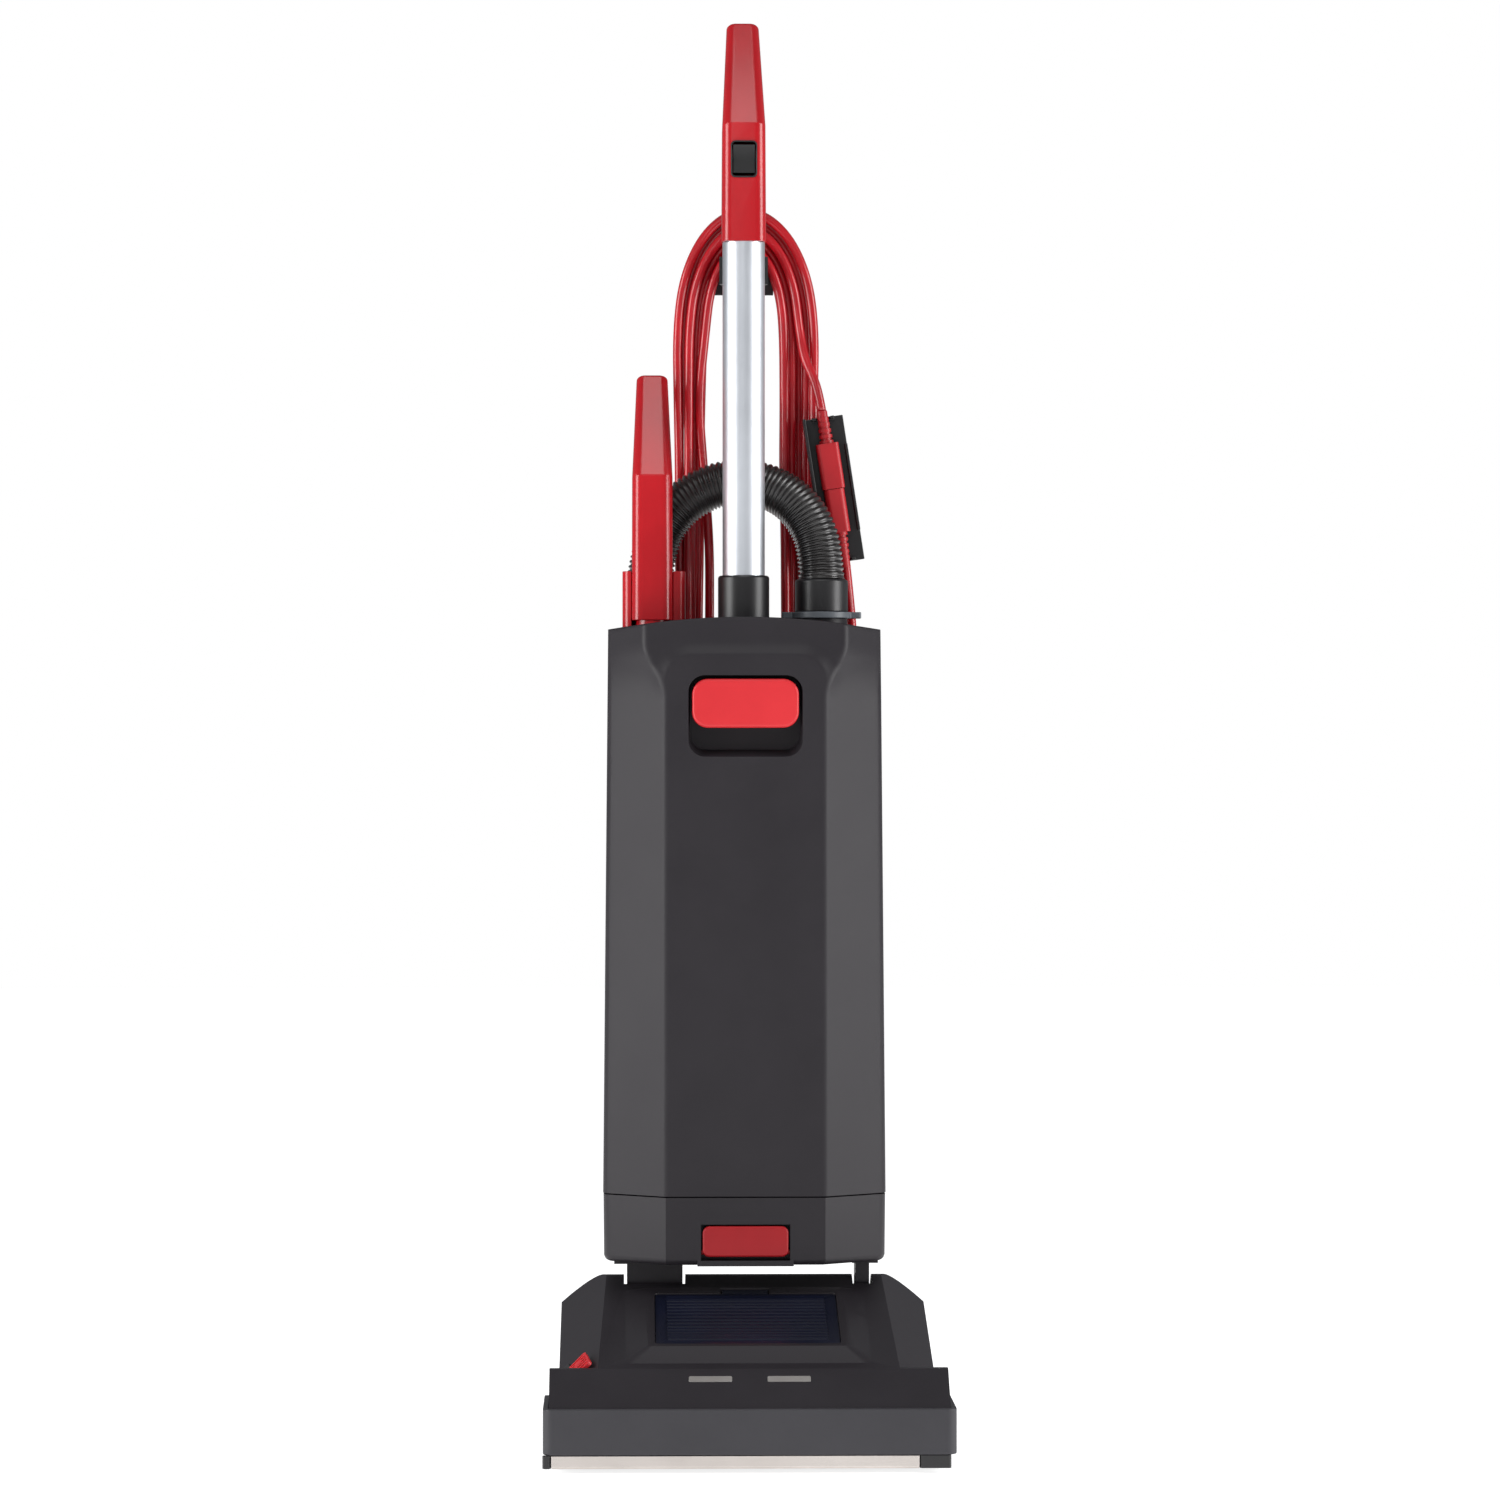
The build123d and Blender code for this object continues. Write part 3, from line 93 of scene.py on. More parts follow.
def rounded_ring(width: float, depth: float, radius: float, steps: int = 8) -> Array:
    """Points round a rectangle with round corners, counter-clockwise from above.

    Each corner is a quarter circle: its centre plus radius times (cos, sin) of the angle.

    Args:
        width: Size along the first axis.
        depth: Size along the second axis.
        radius: Corner radius.
        steps: Spans in each corner.

    Returns:
        Array of (4 * (steps + 1), 2) points.
    """
    radius = min(radius, width / 2 - 0.01, depth / 2 - 0.01)
    angle = (np.linspace(0, 90, steps + 1)[None, :] + np.arange(4)[:, None] * 90) * math.pi / 180
    signs = np.array([(1, 1), (-1, 1), (-1, -1), (1, -1)])
    centre = signs * np.array([width / 2 - radius, depth / 2 - radius])
    ring = centre[:, None, :] + radius * np.stack([np.cos(angle), np.sin(angle)], axis=2)
    return ring.reshape(-1, 2)


def unit(vectors: Array) -> Array:
    """Vectors scaled to length one along their last axis."""
    return vectors / np.maximum(np.linalg.norm(vectors, axis=-1, keepdims=True), 1e-12)


def eased(share: Any) -> Any:
    """A share from zero to one, as a number or an array, made to start and stop gently."""
    return share * share * (3 - 2 * share)


# ---- meshes -------------------------------------------------------------------------
def grid_faces(rows: int, columns: int, wrap: bool) -> Array:
    """Quads of a grid whose points are numbered row by row.

    Args:
        rows: Number of rows of points.
        columns: Points in a row.
        wrap: Whether each row closes on itself.

    Returns:
        Array of (faces, 4) point numbers.
    """
    row, column = np.meshgrid(np.arange(rows - 1), np.arange(columns if wrap else columns - 1), indexing="ij")
    following = (column + 1) % columns
    quads = [row * columns + column, row * columns + following,
             (row + 1) * columns + following, (row + 1) * columns + column]
    return np.stack(quads, axis=-1).reshape(-1, 4)


def linked(name: str, data: bpy.types.ID) -> bpy.types.Object:
    """Makes an object from its data and puts it in the scene."""
    made = bpy.data.objects.new(name, data)
    bpy.context.scene.collection.objects.link(made)
    return made


def make_piece(name: str, points: Array, faces: Sequence[Sequence[int]], material: bpy.types.Material,
               outward: bool = True) -> bpy.types.Object:
    """Makes a smooth-shaded mesh object at the origin from points in millimetres.

    Args:
        name: The piece's name.
        points: Array of (n, 3) places in millimetres.
        faces: Point numbers of each face.
        material: What it is made of.
        outward: Whether to turn every face to point out of the closed shape.

    Returns:
        The new object, linked to the scene.
    """
    mesh = bpy.data.meshes.new(name)
    mesh.from_pydata((np.asarray(points, float) * MM).tolist(), [], [list(map(int, f)) for f in faces])
    mesh.materials.append(material)
    if outward:
        work = bmesh.new()
        work.from_mesh(mesh)
        bmesh.ops.remove_doubles(work, verts=work.verts, dist=1e-6)
        bmesh.ops.recalc_face_normals(work, faces=work.faces)
        work.to_mesh(mesh)
        work.free()
    mesh.shade_smooth()
    return linked(name, mesh)


def loft_piece(name: str, rings: Array, material: bpy.types.Material,
               capped: bool = True) -> bpy.types.Object:
    """Makes a closed skin over a stack of rings, with a flat face over each end.

    Args:
        name: The piece's name.
        rings: Array of (rings, points, 3) in millimetres.
        material: What it is made of.
        capped: Whether the ends are closed; without it the last ring joins the first.

    Returns:
        The new object.
    """
    count, around = rings.shape[:2]
    faces = grid_faces(count, around, True).tolist()
    if capped:
        faces.append(list(range(around))[::-1])
        faces.append(list(range((count - 1) * around, count * around)))
    else:
        last = (count - 1) * around + np.arange(around)
        first = np.arange(around)
        faces += np.stack([last, np.roll(last, -1), np.roll(first, -1), first], axis=1).tolist()
    return make_piece(name, rings.reshape(-1, 3), faces, material)


def turned_piece(name: str, profile: Array, centre: Sequence[float], axis: int, material: bpy.types.Material,
                 steps: int = 48) -> bpy.types.Object:
    """Makes a turned shape: a profile of (along, radius) carried round an axis.

    A point at angle a lies at centre + along the axis + radius * (cos a, sin a) across it.

    Args:
        name: The piece's name.
        profile: Array of (n, 2) with the distance along the axis and the radius.
        centre: Origin of the axis in millimetres.
        axis: 0, 1 or 2 for X, Y or Z.
        material: What it is made of.
        steps: Spans round the axis.

    Returns:
        The new object.
    """
    angle = np.linspace(0, 2 * math.pi, steps, endpoint=False)
    profile = np.asarray(profile, float)
    rings = np.zeros((len(profile), steps, 3))
    first, second = (axis + 1) % 3, (axis + 2) % 3
    rings[:, :, axis] = profile[:, :1]
    rings[:, :, first] = profile[:, 1:] * np.cos(angle)
    rings[:, :, second] = profile[:, 1:] * np.sin(angle)
    return loft_piece(name, rings + np.asarray(centre, float), material, capped=False)


def soft_edges(piece: bpy.types.Object, width: float, segments: int = 3, angle: float = 28.0) -> None:
    """Rounds a piece's sharp edges with a live bevel.

    Args:
        piece: The piece to round.
        width: Bevel width in millimetres.
        segments: Faces across the bevel.
        angle: Edges that turn by less than this, in degrees, stay as they are.
    """
    bevel = piece.modifiers.new("soft_edges", "BEVEL")
    bevel.width = width * MM
    bevel.segments = segments
    bevel.limit_method = "ANGLE"
    bevel.angle_limit = math.radians(angle)
    bevel.harden_normals = True
    bevel.use_clamp_overlap = True
    bevel.miter_outer = "MITER_ARC"


def softened_copy(node: str, material: bpy.types.Material, width: float) -> bpy.types.Object:
    """Stands a merged, soft-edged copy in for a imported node.

    The copy rides on the node's own body, so it moves as the node does.

    Args:
        node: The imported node's name.
        material: What it is made of.
        width: Bevel width in millimetres.

    Returns:
        The new object, which replaces the node.
    """
    merge_distance, flat_angle = 1e-5, math.radians(0.6)
    source = bpy.data.objects[node]
    mesh = source.data.copy()
    mesh.transform(source.matrix_world)
    work = bmesh.new()
    work.from_mesh(mesh)
    bmesh.ops.remove_doubles(work, verts=work.verts, dist=merge_distance)
    bmesh.ops.dissolve_limit(work, angle_limit=flat_angle, verts=work.verts, edges=work.edges)
    work.to_mesh(mesh)
    work.free()
    mesh.materials.clear()
    mesh.materials.append(material)
    for layer in list(mesh.attributes):
        if layer.name == "custom_normal":
            mesh.attributes.remove(layer)
    mesh.shade_smooth()
    piece = linked(f"{node}_moulding", mesh)
    soft_edges(piece, width)
    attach(piece, source["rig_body"])
    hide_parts(node)
    return piece


def through(corners: Array, radii: Sequence[float], spans: Sequence[int], arc: int = 8) -> Array:
    """Points along an open outline with round corners, the same number for any sizes.

    A corner's tangent points lie radius / tan(half the inner angle) from it; the arc between them is
    swept from its centre. Straight stretches are divided evenly.

    Args:
        corners: Array of (n, 2) corners, ends included.
        radii: Radius at each inner corner.
        spans: Divisions of each straight stretch.
        arc: Divisions of each arc.

    Returns:
        Array of (points, 2).
    """
    ahead = unit(np.diff(corners, axis=0))
    half = np.arccos(np.clip(-(ahead[:-1] * ahead[1:]).sum(1), -1, 1)) / 2
    reach = np.asarray(radii) / np.tan(half)
    leaving = corners[1:-1] - ahead[:-1] * reach[:, None]
    joining = corners[1:-1] + ahead[1:] * reach[:, None]
    starts = np.vstack([corners[:1], joining])
    stops = np.vstack([leaving, corners[-1:]])
    out = []
    for number, (start, stop, divisions) in enumerate(zip(starts, stops, spans)):
        out.append(start + (stop - start) * np.linspace(0, 1, divisions, endpoint=False)[:, None])
        if number < len(radii):
            middle = unit(ahead[number + 1] - ahead[number])
            centre = corners[number + 1] + middle * radii[number] / math.sin(half[number])
            first, last = leaving[number] - centre, joining[number] - centre
            share = np.linspace(0, 1, arc, endpoint=False)[:, None]
            turn = math.pi - 2 * half[number]
            blend = (np.sin((1 - share) * turn) * first + np.sin(share * turn) * last) / math.sin(turn)
            out.append(centre + blend)
    out.append(corners[-1:])
    return np.vstack(out)


def bake(piece: bpy.types.Object) -> None:
    """Applies every modifier on a piece by keeping its evaluated mesh."""
    evaluated = piece.evaluated_get(bpy.context.evaluated_depsgraph_get())
    mesh = bpy.data.meshes.new_from_object(evaluated)
    piece.modifiers.clear()
    piece.data = mesh


# ---- finishes -----------------------------------------------------------------------
def add_node(tree: bpy.types.NodeTree, kind: str, settings: Optional[dict[str, Any]] = None,
         **links: bpy.types.NodeSocket) -> bpy.types.Node:
    """Adds a node, sets its properties or inputs, and links sockets to it.

    Args:
        tree: The material's or world's tree.
        kind: Node type without the ShaderNode prefix.
        settings: Property or input names with their values.
        **links: Input name to the socket that feeds it.

    Returns:
        The new node.
    """
    made = tree.nodes.new(f"ShaderNode{kind}")
    for key, value in (settings or {}).items():
        if key in made.inputs:
            made.inputs[key].default_value = value
        else:
            setattr(made, key, value)
    for name, socket in links.items():
        tree.links.new(socket, made.inputs[name])
    return made


class Grain(Enum):
    """How a surface was made."""

    SPARKED = "spark-eroded mould"
    POLISHED = "polished mould"
    BRUSHED_Z = "brushed along the tube"
    BRUSHED_X = "rolled along the strip"
    JACKET = "extruded and twisted jacket"
    FIBRES = "pressed fibres"


@dataclass(frozen=True)
class Finish:
    """One real finish and the numbers that its material starts from.

    Its tone wanders between colour and shade; grain_mm and depth_mm are the grain's size and height.
    """

    name: str
    colour: str
    shade: str
    grain: Grain
    roughness: float
    grain_mm: float
    depth_mm: float
    metallic: float = 0.0
    ior: float = 1.5
    coat: float = 0.0
    sheen: float = 0.0

    def material(self) -> bpy.types.Material:
        """Builds the finish as a node material.

        Tone and roughness vary slowly over tens of millimetres; the bump follows the way that the
        surface was made, at the grain's own size.

        Returns:
            The material.
        """
        made = bpy.data.materials.new(self.name)
        made.use_nodes = True
        tree = made.node_tree
        surface = tree.nodes["Principled BSDF"]
        place = add_node(tree, "TexCoord")
        grain = self._grain(tree, place)
        slow = add_node(tree, "TexNoise", {"Scale": 14.0, "Detail": 4.0, "Roughness": 0.55},
                        Vector=place.outputs["Object"]).outputs["Fac"]
        tone = add_node(tree, "ValToRGB", None, Fac=slow)
        for stop, position, colour in zip(tone.color_ramp.elements, (0.3, 0.7), (self.shade, self.colour)):
            stop.position = position
            stop.color = linear(colour)
        mix = add_node(tree, "MixRGB", {"blend_type": "MULTIPLY", "Fac": 0.12},
                       Color1=tone.outputs["Color"], Color2=grain)
        limits = {"To Min": self.roughness * 0.86, "To Max": min(1.0, self.roughness * 1.14)}
        rough = add_node(tree, "MapRange", limits, Value=slow)
        bump = add_node(tree, "Bump", {"Strength": 0.6, "Distance": self.depth_mm * MM}, Height=grain)
        tree.links.new(mix.outputs["Color"], surface.inputs["Base Color"])
        tree.links.new(rough.outputs["Result"], surface.inputs["Roughness"])
        tree.links.new(bump.outputs["Normal"], surface.inputs["Normal"])
        for name, value in (("Metallic", self.metallic), ("IOR", self.ior), ("Coat Weight", self.coat),
                            ("Coat Roughness", 0.12), ("Sheen Weight", self.sheen)):
            surface.inputs[name].default_value = value
        return made

    def _grain(self, tree: bpy.types.NodeTree, place: bpy.types.Node) -> bpy.types.NodeSocket:
        """Adds the fine pattern that darkens and raises the surface, and gives its socket."""
        per_metre = 1 / (self.grain_mm * MM)
        if self.grain is Grain.JACKET:
            # the jacket's twist shows as fine slanting ribs along the lead
            settings = {"Scale": per_metre / (2 * math.pi) * 0.5, "Distortion": 0.6, "Detail": 1.0,
                        "bands_direction": "DIAGONAL"}
            return add_node(tree, "TexWave", settings, Vector=place.outputs["UV"]).outputs["Fac"]
        # a brushed surface is the same noise drawn out along the stroke
        drawn = {Grain.BRUSHED_Z: (1, 1, 0.012), Grain.BRUSHED_X: (0.012, 1, 1)}
        stretch = drawn.get(self.grain, (1, 1, 1))
        mapped = add_node(tree, "Mapping", {"Scale": stretch}, Vector=place.outputs["Object"])
        return add_node(tree, "TexNoise", {"Scale": per_metre, "Detail": 3.0, "Roughness": 0.6},
                        Vector=mapped.outputs["Vector"]).outputs["Fac"]


# Moulded ABS with a fine spark-eroded grain: dark, satin, and paler where light grazes it.
BODY_ABS = Finish("body_abs_moulded", "29262a", "252226", Grain.SPARKED, 0.46, 0.9, 0.05, ior=1.34)
BUMPER_ABS = Finish("bumper_abs_moulded", "3b3a3e", "363539", Grain.SPARKED, 0.46, 0.9, 0.05, ior=1.38)
# Fittings in plain black ABS, a little glossier than the shells.
FITTING_ABS = Finish("fitting_abs_moulded", "1d1c1e", "161517", Grain.SPARKED, 0.36, 1.1, 0.04)
# Gloss ABS from a polished mould: a faint ripple bends its long reflections.
GRIP_ABS = Finish("grip_abs_polished", "b80d19", "a80b16", Grain.POLISHED, 0.24, 9.0, 0.03, coat=0.15)
LATCH_ABS = Finish("latch_abs_moulded", "d2222a", "c81d25", Grain.SPARKED, 0.42, 0.9, 0.03)
# Anodised aluminium, drawn and brushed along its length: long soft streaks.
TUBE_ALUMINIUM = Finish("tube_aluminium_anodised", "e6eaf0", "dde1e7", Grain.BRUSHED_Z, 0.42, 0.5, 0.012,
                        metallic=1.0)
STRIP_STEEL = Finish("edge_steel_rolled", "c6bfba", "b6afaa", Grain.BRUSHED_X, 0.26, 0.5, 0.01, metallic=1.0)
PIN_STEEL = Finish("pin_steel_ground", "9a9b9d", "858688", Grain.BRUSHED_X, 0.34, 0.6, 0.01, metallic=1.0)
HOSE_VINYL = Finish("hose_vinyl_blown", "262322", "1c1a1a", Grain.POLISHED, 0.27, 3.0, 0.04, coat=0.2)
# PVC jacket over twisted cores: a slow rib runs round it, and it is glossy.
CORD_PVC = Finish("cord_pvc_extruded", "bd111f", "9c0d19", Grain.JACKET, 0.26, 5.0, 0.5, coat=0.3)
PLUG_PVC = Finish("plug_pvc_moulded", "b5121d", "a10f19", Grain.SPARKED, 0.40, 1.0, 0.04)
TYRE_RUBBER = Finish("tyre_rubber_moulded", "232324", "1b1b1c", Grain.SPARKED, 0.62, 1.2, 0.08)
BRISTLE_NYLON = Finish("bristle_nylon_drawn", "0e5878", "0a4663", Grain.FIBRES, 0.45, 1.5, 0.05)
WINDOW_TINT = Finish("window_polycarbonate_tinted", "12162a", "0d1020", Grain.POLISHED, 0.38, 8.0, 0.02,
                     ior=1.4)
FILTER_PAPER = Finish("filter_paper_pleated", "d9d7cf", "c9c6bc", Grain.FIBRES, 0.85, 1.0, 0.15, sheen=0.2)
BAG_PAPER = Finish("bag_paper_pressed", "cfc3a6", "bfb295", Grain.FIBRES, 0.88, 1.6, 0.25, sheen=0.2)
# The lower latch: the latch's red ABS darkened with painted shade, for the shade that it sits in.
SHADED_LOW_LATCH_ABS = Finish("low_latch_abs_painted_shade", "a5101a", "960d16", Grain.SPARKED, 0.42, 0.9, 0.03, ior=1.4)
GREY_ABS = Finish("lock_ring_abs_moulded", "666b71", "5a5f65", Grain.SPARKED, 0.42, 0.9, 0.04)
SWITCH_ABS = Finish("switch_abs_moulded", "121213", "0c0c0d", Grain.SPARKED, 0.5, 0.8, 0.05)
LENS_ACRYLIC = Finish("lens_acrylic_smoked", "8f8c89", "7e7b78", Grain.POLISHED, 0.2, 4.0, 0.01, ior=1.49)
FOAM_BLUE = Finish("filter_foam_open_cell", "31404d", "24313c", Grain.FIBRES, 0.9, 1.2, 0.5)


class Shop:
    """Keeps one material for each finish."""

    def __init__(self) -> None:
        """Starts with no materials."""
        self.made: dict[str, bpy.types.Material] = {}

    def get(self, finish: Finish) -> bpy.types.Material:
        """Returns the finish's material, made the first time that it is asked for."""
        if finish.name not in self.made:
            self.made[finish.name] = finish.material()
        return self.made[finish.name]


SHOP = Shop()


def placed(piece: bpy.types.Object, body: str, *stands_for: str) -> bpy.types.Object:
    """Rides a finished piece on a body, hides the nodes that it stands for, and reports it."""
    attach(piece, body)
    if stands_for:
        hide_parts(*stands_for)
    log.info("%s rides on %s", piece.name, body)
    return piece


# ---- cords and hose -----------------------------------------------------------------
def run_of(line: Array) -> Array:
    """Distance along a line at each of its points."""
    return np.concatenate([[0], np.cumsum(np.linalg.norm(np.diff(line, axis=0), axis=1))])


@dataclass
class Route:
    """A line, written as control points and kept as an unseen NURBS curve.

    Attributes:
        name: The curve's name.
        points: Control points in metres.
    """

    name: str
    points: Sequence[Sequence[float]]

    def curve(self) -> bpy.types.Object:
        """Makes the curve that carries the route, with no thickness of its own."""
        data = bpy.data.curves.new(self.name, "CURVE")
        data.dimensions = "3D"
        data.resolution_u = 16
        spline = data.splines.new("NURBS")
        spline.points.add(len(self.points) - 1)
        for place, control in zip(self.points, spline.points):
            control.co = (*place, 1.0)
        spline.order_u = 3
        spline.use_endpoint_u = True
        return linked(self.name, data)

    def line(self, step: float) -> Array:
        """Reads the curve back as evenly spaced points.

        Args:
            step: Spacing in metres.

        Returns:
            Array of (n, 3) points in metres.
        """
        carrier = self.curve()
        mesh = bpy.data.meshes.new_from_object(carrier)
        read = np.zeros(len(mesh.vertices) * 3)
        mesh.vertices.foreach_get("co", read)
        read = read.reshape(-1, 3)
        bpy.data.objects.remove(carrier)
        run = run_of(read)
        count = max(8, int(round(run[-1] / step)))
        even = np.linspace(0, run[-1], count)
        return np.stack([np.interp(even, run, read[:, axis]) for axis in range(3)], axis=1)


def tube_piece(name: str, line: Array, radius: Array, sides: int,
               material: bpy.types.Material) -> bpy.types.Object:
    """Carries a circle along a line, with UVs in metres: round the tube, then along it.

    The circle's axes come from the tangent and the machine's Y axis, which no line here runs along, so
    the tube doesn't twist.

    Args:
        name: The piece's name.
        line: Array of (n, 3) points in metres.
        radius: Radius at each point in metres.
        sides: Points round the tube.
        material: What it is made of.

    Returns:
        The new object.
    """
    tangent = unit(np.gradient(line, axis=0))
    across = unit(np.cross(np.array([0.0, 1.0, 0.0]), tangent))
    up = np.cross(tangent, across)
    angle = np.linspace(0, 2 * math.pi, sides, endpoint=False)
    ring = np.cos(angle)[None, :, None] * across[:, None, :] + np.sin(angle)[None, :, None] * up[:, None, :]
    points = line[:, None, :] + radius[:, None, None] * ring
    count = len(line)
    faces = grid_faces(count, sides, True).tolist()
    faces.append(list(range(sides))[::-1])
    faces.append(list(range((count - 1) * sides, count * sides)))
    piece = make_piece(name, points.reshape(-1, 3) / MM, faces, material)
    mesh = piece.data
    layer = mesh.uv_layers.new(name="along")
    corner = np.zeros(len(mesh.loops), np.int32)
    mesh.loops.foreach_get("vertex_index", corner)
    run, round_it = run_of(line), angle * float(radius.mean())
    uv = np.stack([round_it[corner % sides], run[corner // sides]], axis=1)
    layer.data.foreach_set("uv", uv.ravel())
    return piece


@dataclass(frozen=True)
class Bow:
    """The half ellipse that the wound lead makes round one hook, for lanes from outer to inner.

    Attributes:
        level: Height of the ellipse's centre.
        outer_half: Half width in the outer lane.
        inner_half: Half width in the inner lane.
        reach: Height from the centre in the outer lane.
        narrowing: How much less the inner lane reaches.
    """

    level: float
    outer_half: float
    inner_half: float
    reach: float
    narrowing: float

    def half(self, lane: float) -> float:
        """Half width in a lane: 0 is the outer one, 1 the inner."""
        return self.outer_half * (1 - lane) + self.inner_half * lane

    def place(self, degrees: float, lane: float) -> tuple[float, float]:
        """Distance to the right of the middle, and height, at an angle from the right."""
        angle = math.radians(degrees)
        reach = self.reach - self.narrowing * lane
        return self.half(lane) * math.cos(angle), self.level + reach * math.sin(angle)


@dataclass
class Cords:
    """The corrugated hose, the short feed lead and the mains lead with its wound store, in metres."""

    hose_points: Sequence[Sequence[float]] = (
        (0.068, 0.100, 0.742), (0.0675, 0.1005, 0.764), (0.060, 0.104, 0.791), (0.042, 0.111, 0.8135),
        (0.017, 0.119, 0.826), (-0.012, 0.1225, 0.828), (-0.038, 0.1235, 0.820), (-0.061, 0.1255, 0.802),
        (-0.076, 0.1285, 0.776), (-0.082, 0.130, 0.740),
    )
    # the last point lies inside the plug
    pigtail_points: Sequence[Sequence[float]] = (
        (0.097, 0.148, 0.664), (0.0972, 0.147, 0.686), (0.096, 0.143, 0.708), (0.0936, 0.1374, 0.730),
        (0.0912, 0.134, 0.752), (0.0904, 0.134, 0.757),
    )
    lead_points: Sequence[Sequence[float]] = (
        (0.0695, 0.134, 0.8905), (0.0664, 0.1346, 0.908), (0.0606, 0.1374, 0.924), (0.054, 0.142, 0.938),
        (0.050, 0.146, 0.951),
    )
    leaving_point: Sequence[float] = (0.006, 0.159, 0.424)
    tail_points: Sequence[Sequence[float]] = ((0.008, 0.159, 0.406), (0.008, 0.159, 0.350))
    hose_length: float = 0.259
    pigtail_length: float = 0.0946
    hose_diameter: float = 0.040
    cord_diameter: float = 0.008
    rib_pitch: float = 0.0042
    rib_depth: float = 0.0021
    # each turn's place in the store: share of the way from the outer lane to the inner, and its depth
    lanes: Sequence[tuple[float, float]] = (
        (0.50, 0.1505), (0.00, 0.1508), (0.25, 0.1590), (1.00, 0.1508), (0.75, 0.1592), (0.00, 0.1674),
        (0.50, 0.1674), (1.00, 0.1674), (0.25, 0.1590),
    )
    store_middle: float = 0.003
    top_bow: Bow = Bow(0.963, 0.061, 0.034, 0.106, 0.032)
    low_bow: Bow = Bow(0.466, 0.056, 0.036, 0.056, 0.026)
    full_turns: int = 8
    # the last turn stops at this angle of the low bow, where it leaves for the tail
    end_degrees: float = 240.0
    # turns whose left run hangs slack, apart from the others
    slack_turns: tuple[int, ...] = (3,)

    def _slack(self, turn: int, side: str, level: float) -> float:
        """How far a slack run swings inwards at a level; above its upper node it swings outwards."""
        low_node, node_gap, top_end, swing = 0.59, 0.24, 0.96, 0.0065
        if turn not in self.slack_turns or side != "left" or not low_node < level < top_end:
            return 0.0
        return swing * math.sin((level - low_node) / node_gap * math.pi)

    def wound(self) -> list[tuple[float, float, float]]:
        """Control points of the wound store, turn by turn.

        A turn starts at the right, low on the top bow: it goes over the top, down the left, under the
        lower hook and up the right. Lanes change smoothly round each turn.

        Returns:
            Points in metres.
        """
        top, low = self.top_bow, self.low_bow
        down = np.linspace(top.level, low.level, 9)[1:-1]
        over, under = np.linspace(0, 180, 8), np.linspace(180, 360, 7)
        parts = {"top": over, "left": down, "low": under, "right": down[::-1]}
        stations = [(part, value) for part, values in parts.items() for value in values]
        wander = np.random.default_rng(7)
        out = []
        for turn in range(self.full_turns):
            here, there = self.lanes[turn], self.lanes[turn + 1]
            for number, (part, value) in enumerate(stations):
                if turn == self.full_turns - 1 and part == "low" and value > self.end_degrees:
                    return out
                ease = eased(number / len(stations))
                lane = here[0] + (there[0] - here[0]) * ease
                y = here[1] + (there[1] - here[1]) * ease
                if part in ("top", "low"):
                    x, z = (top if part == "top" else low).place(value, lane)
                else:
                    sink = (top.level - value) / (top.level - low.level)
                    half = top.half(lane) * (1 - sink) + low.half(lane) * sink
                    side = half if part == "right" else -half
                    x = side + self._slack(turn, part, value) + float(wander.normal(0, 0.0006))
                    z = float(value)
                out.append((self.store_middle + x, y, z))
        return out

    def build(self) -> None:
        """Makes the three free lines."""
        self._hose()
        self._pigtail()
        self._mains_lead()

    def _hose(self) -> None:
        """Blows ribs along the hose: round crests and narrow grooves, plain at both ends."""
        plain_end, groove = 0.006, 0.6
        line = Route("hose_route", self.hose_points).line(0.0007)
        run = run_of(line)
        wave = 0.5 + 0.5 * np.cos(2 * math.pi * run / self.rib_pitch)
        ribbed = np.clip(np.minimum(run, run[-1] - run) / plain_end, 0, 1)
        radius = self.hose_diameter / 2 - self.rib_depth * ribbed * (1 - wave**groove)
        hose = tube_piece("corrugated_hose", line, radius, 44, SHOP.get(HOSE_VINYL))
        placed(hose, "upright", "hose")

    def _pigtail(self) -> None:
        """Carries the short feed lead from its inlet into the connector's plug."""
        line = Route("feed_route", self.pigtail_points).line(0.002)
        radius = np.full(len(line), self.cord_diameter / 2)
        lead = tube_piece("feed_lead", line, radius, 20, SHOP.get(CORD_PVC))
        placed(lead, "upright", "pigtail_cord")

    def _mains_lead(self) -> None:
        """Carries the mains lead from the connector round the store and down to its plug."""
        # the lead's last point is beside the start of the first turn, which takes over from it
        points = [*self.lead_points[:-1], *self.wound(), self.leaving_point, *self.tail_points]
        line = Route("mains_route", points).line(0.0035)
        radius = np.full(len(line), self.cord_diameter / 2)
        lead = tube_piece("mains_lead", line, radius, 14, SHOP.get(CORD_PVC))
        placed(lead, "upright", "main_cord_coil", "main_cord_lead", "main_cord_tail")


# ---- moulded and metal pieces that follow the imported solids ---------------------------
@dataclass(frozen=True)
class Moulding:
    """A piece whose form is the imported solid's own, with its edges softened.

    Attributes:
        node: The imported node.
        finish: What it is made of.
        edge: Edge radius in millimetres.
    """

    node: str
    finish: Finish
    edge: float

    def build(self) -> bpy.types.Object:
        """Makes the softened copy on the same moving body as its node."""
        return softened_copy(self.node, SHOP.get(self.finish), self.edge)


class Assembly:
    """Pieces of the machine that are made together."""

    mouldings: Sequence[Moulding] = ()

    def build(self) -> None:
        """Makes the plain mouldings, then whatever is special to the assembly."""
        for moulding in self.mouldings:
            moulding.build()
        self.special()
        log.info("%s is made", type(self).__name__)

    def special(self) -> None:
        """Makes the pieces that don't simply follow a solid."""


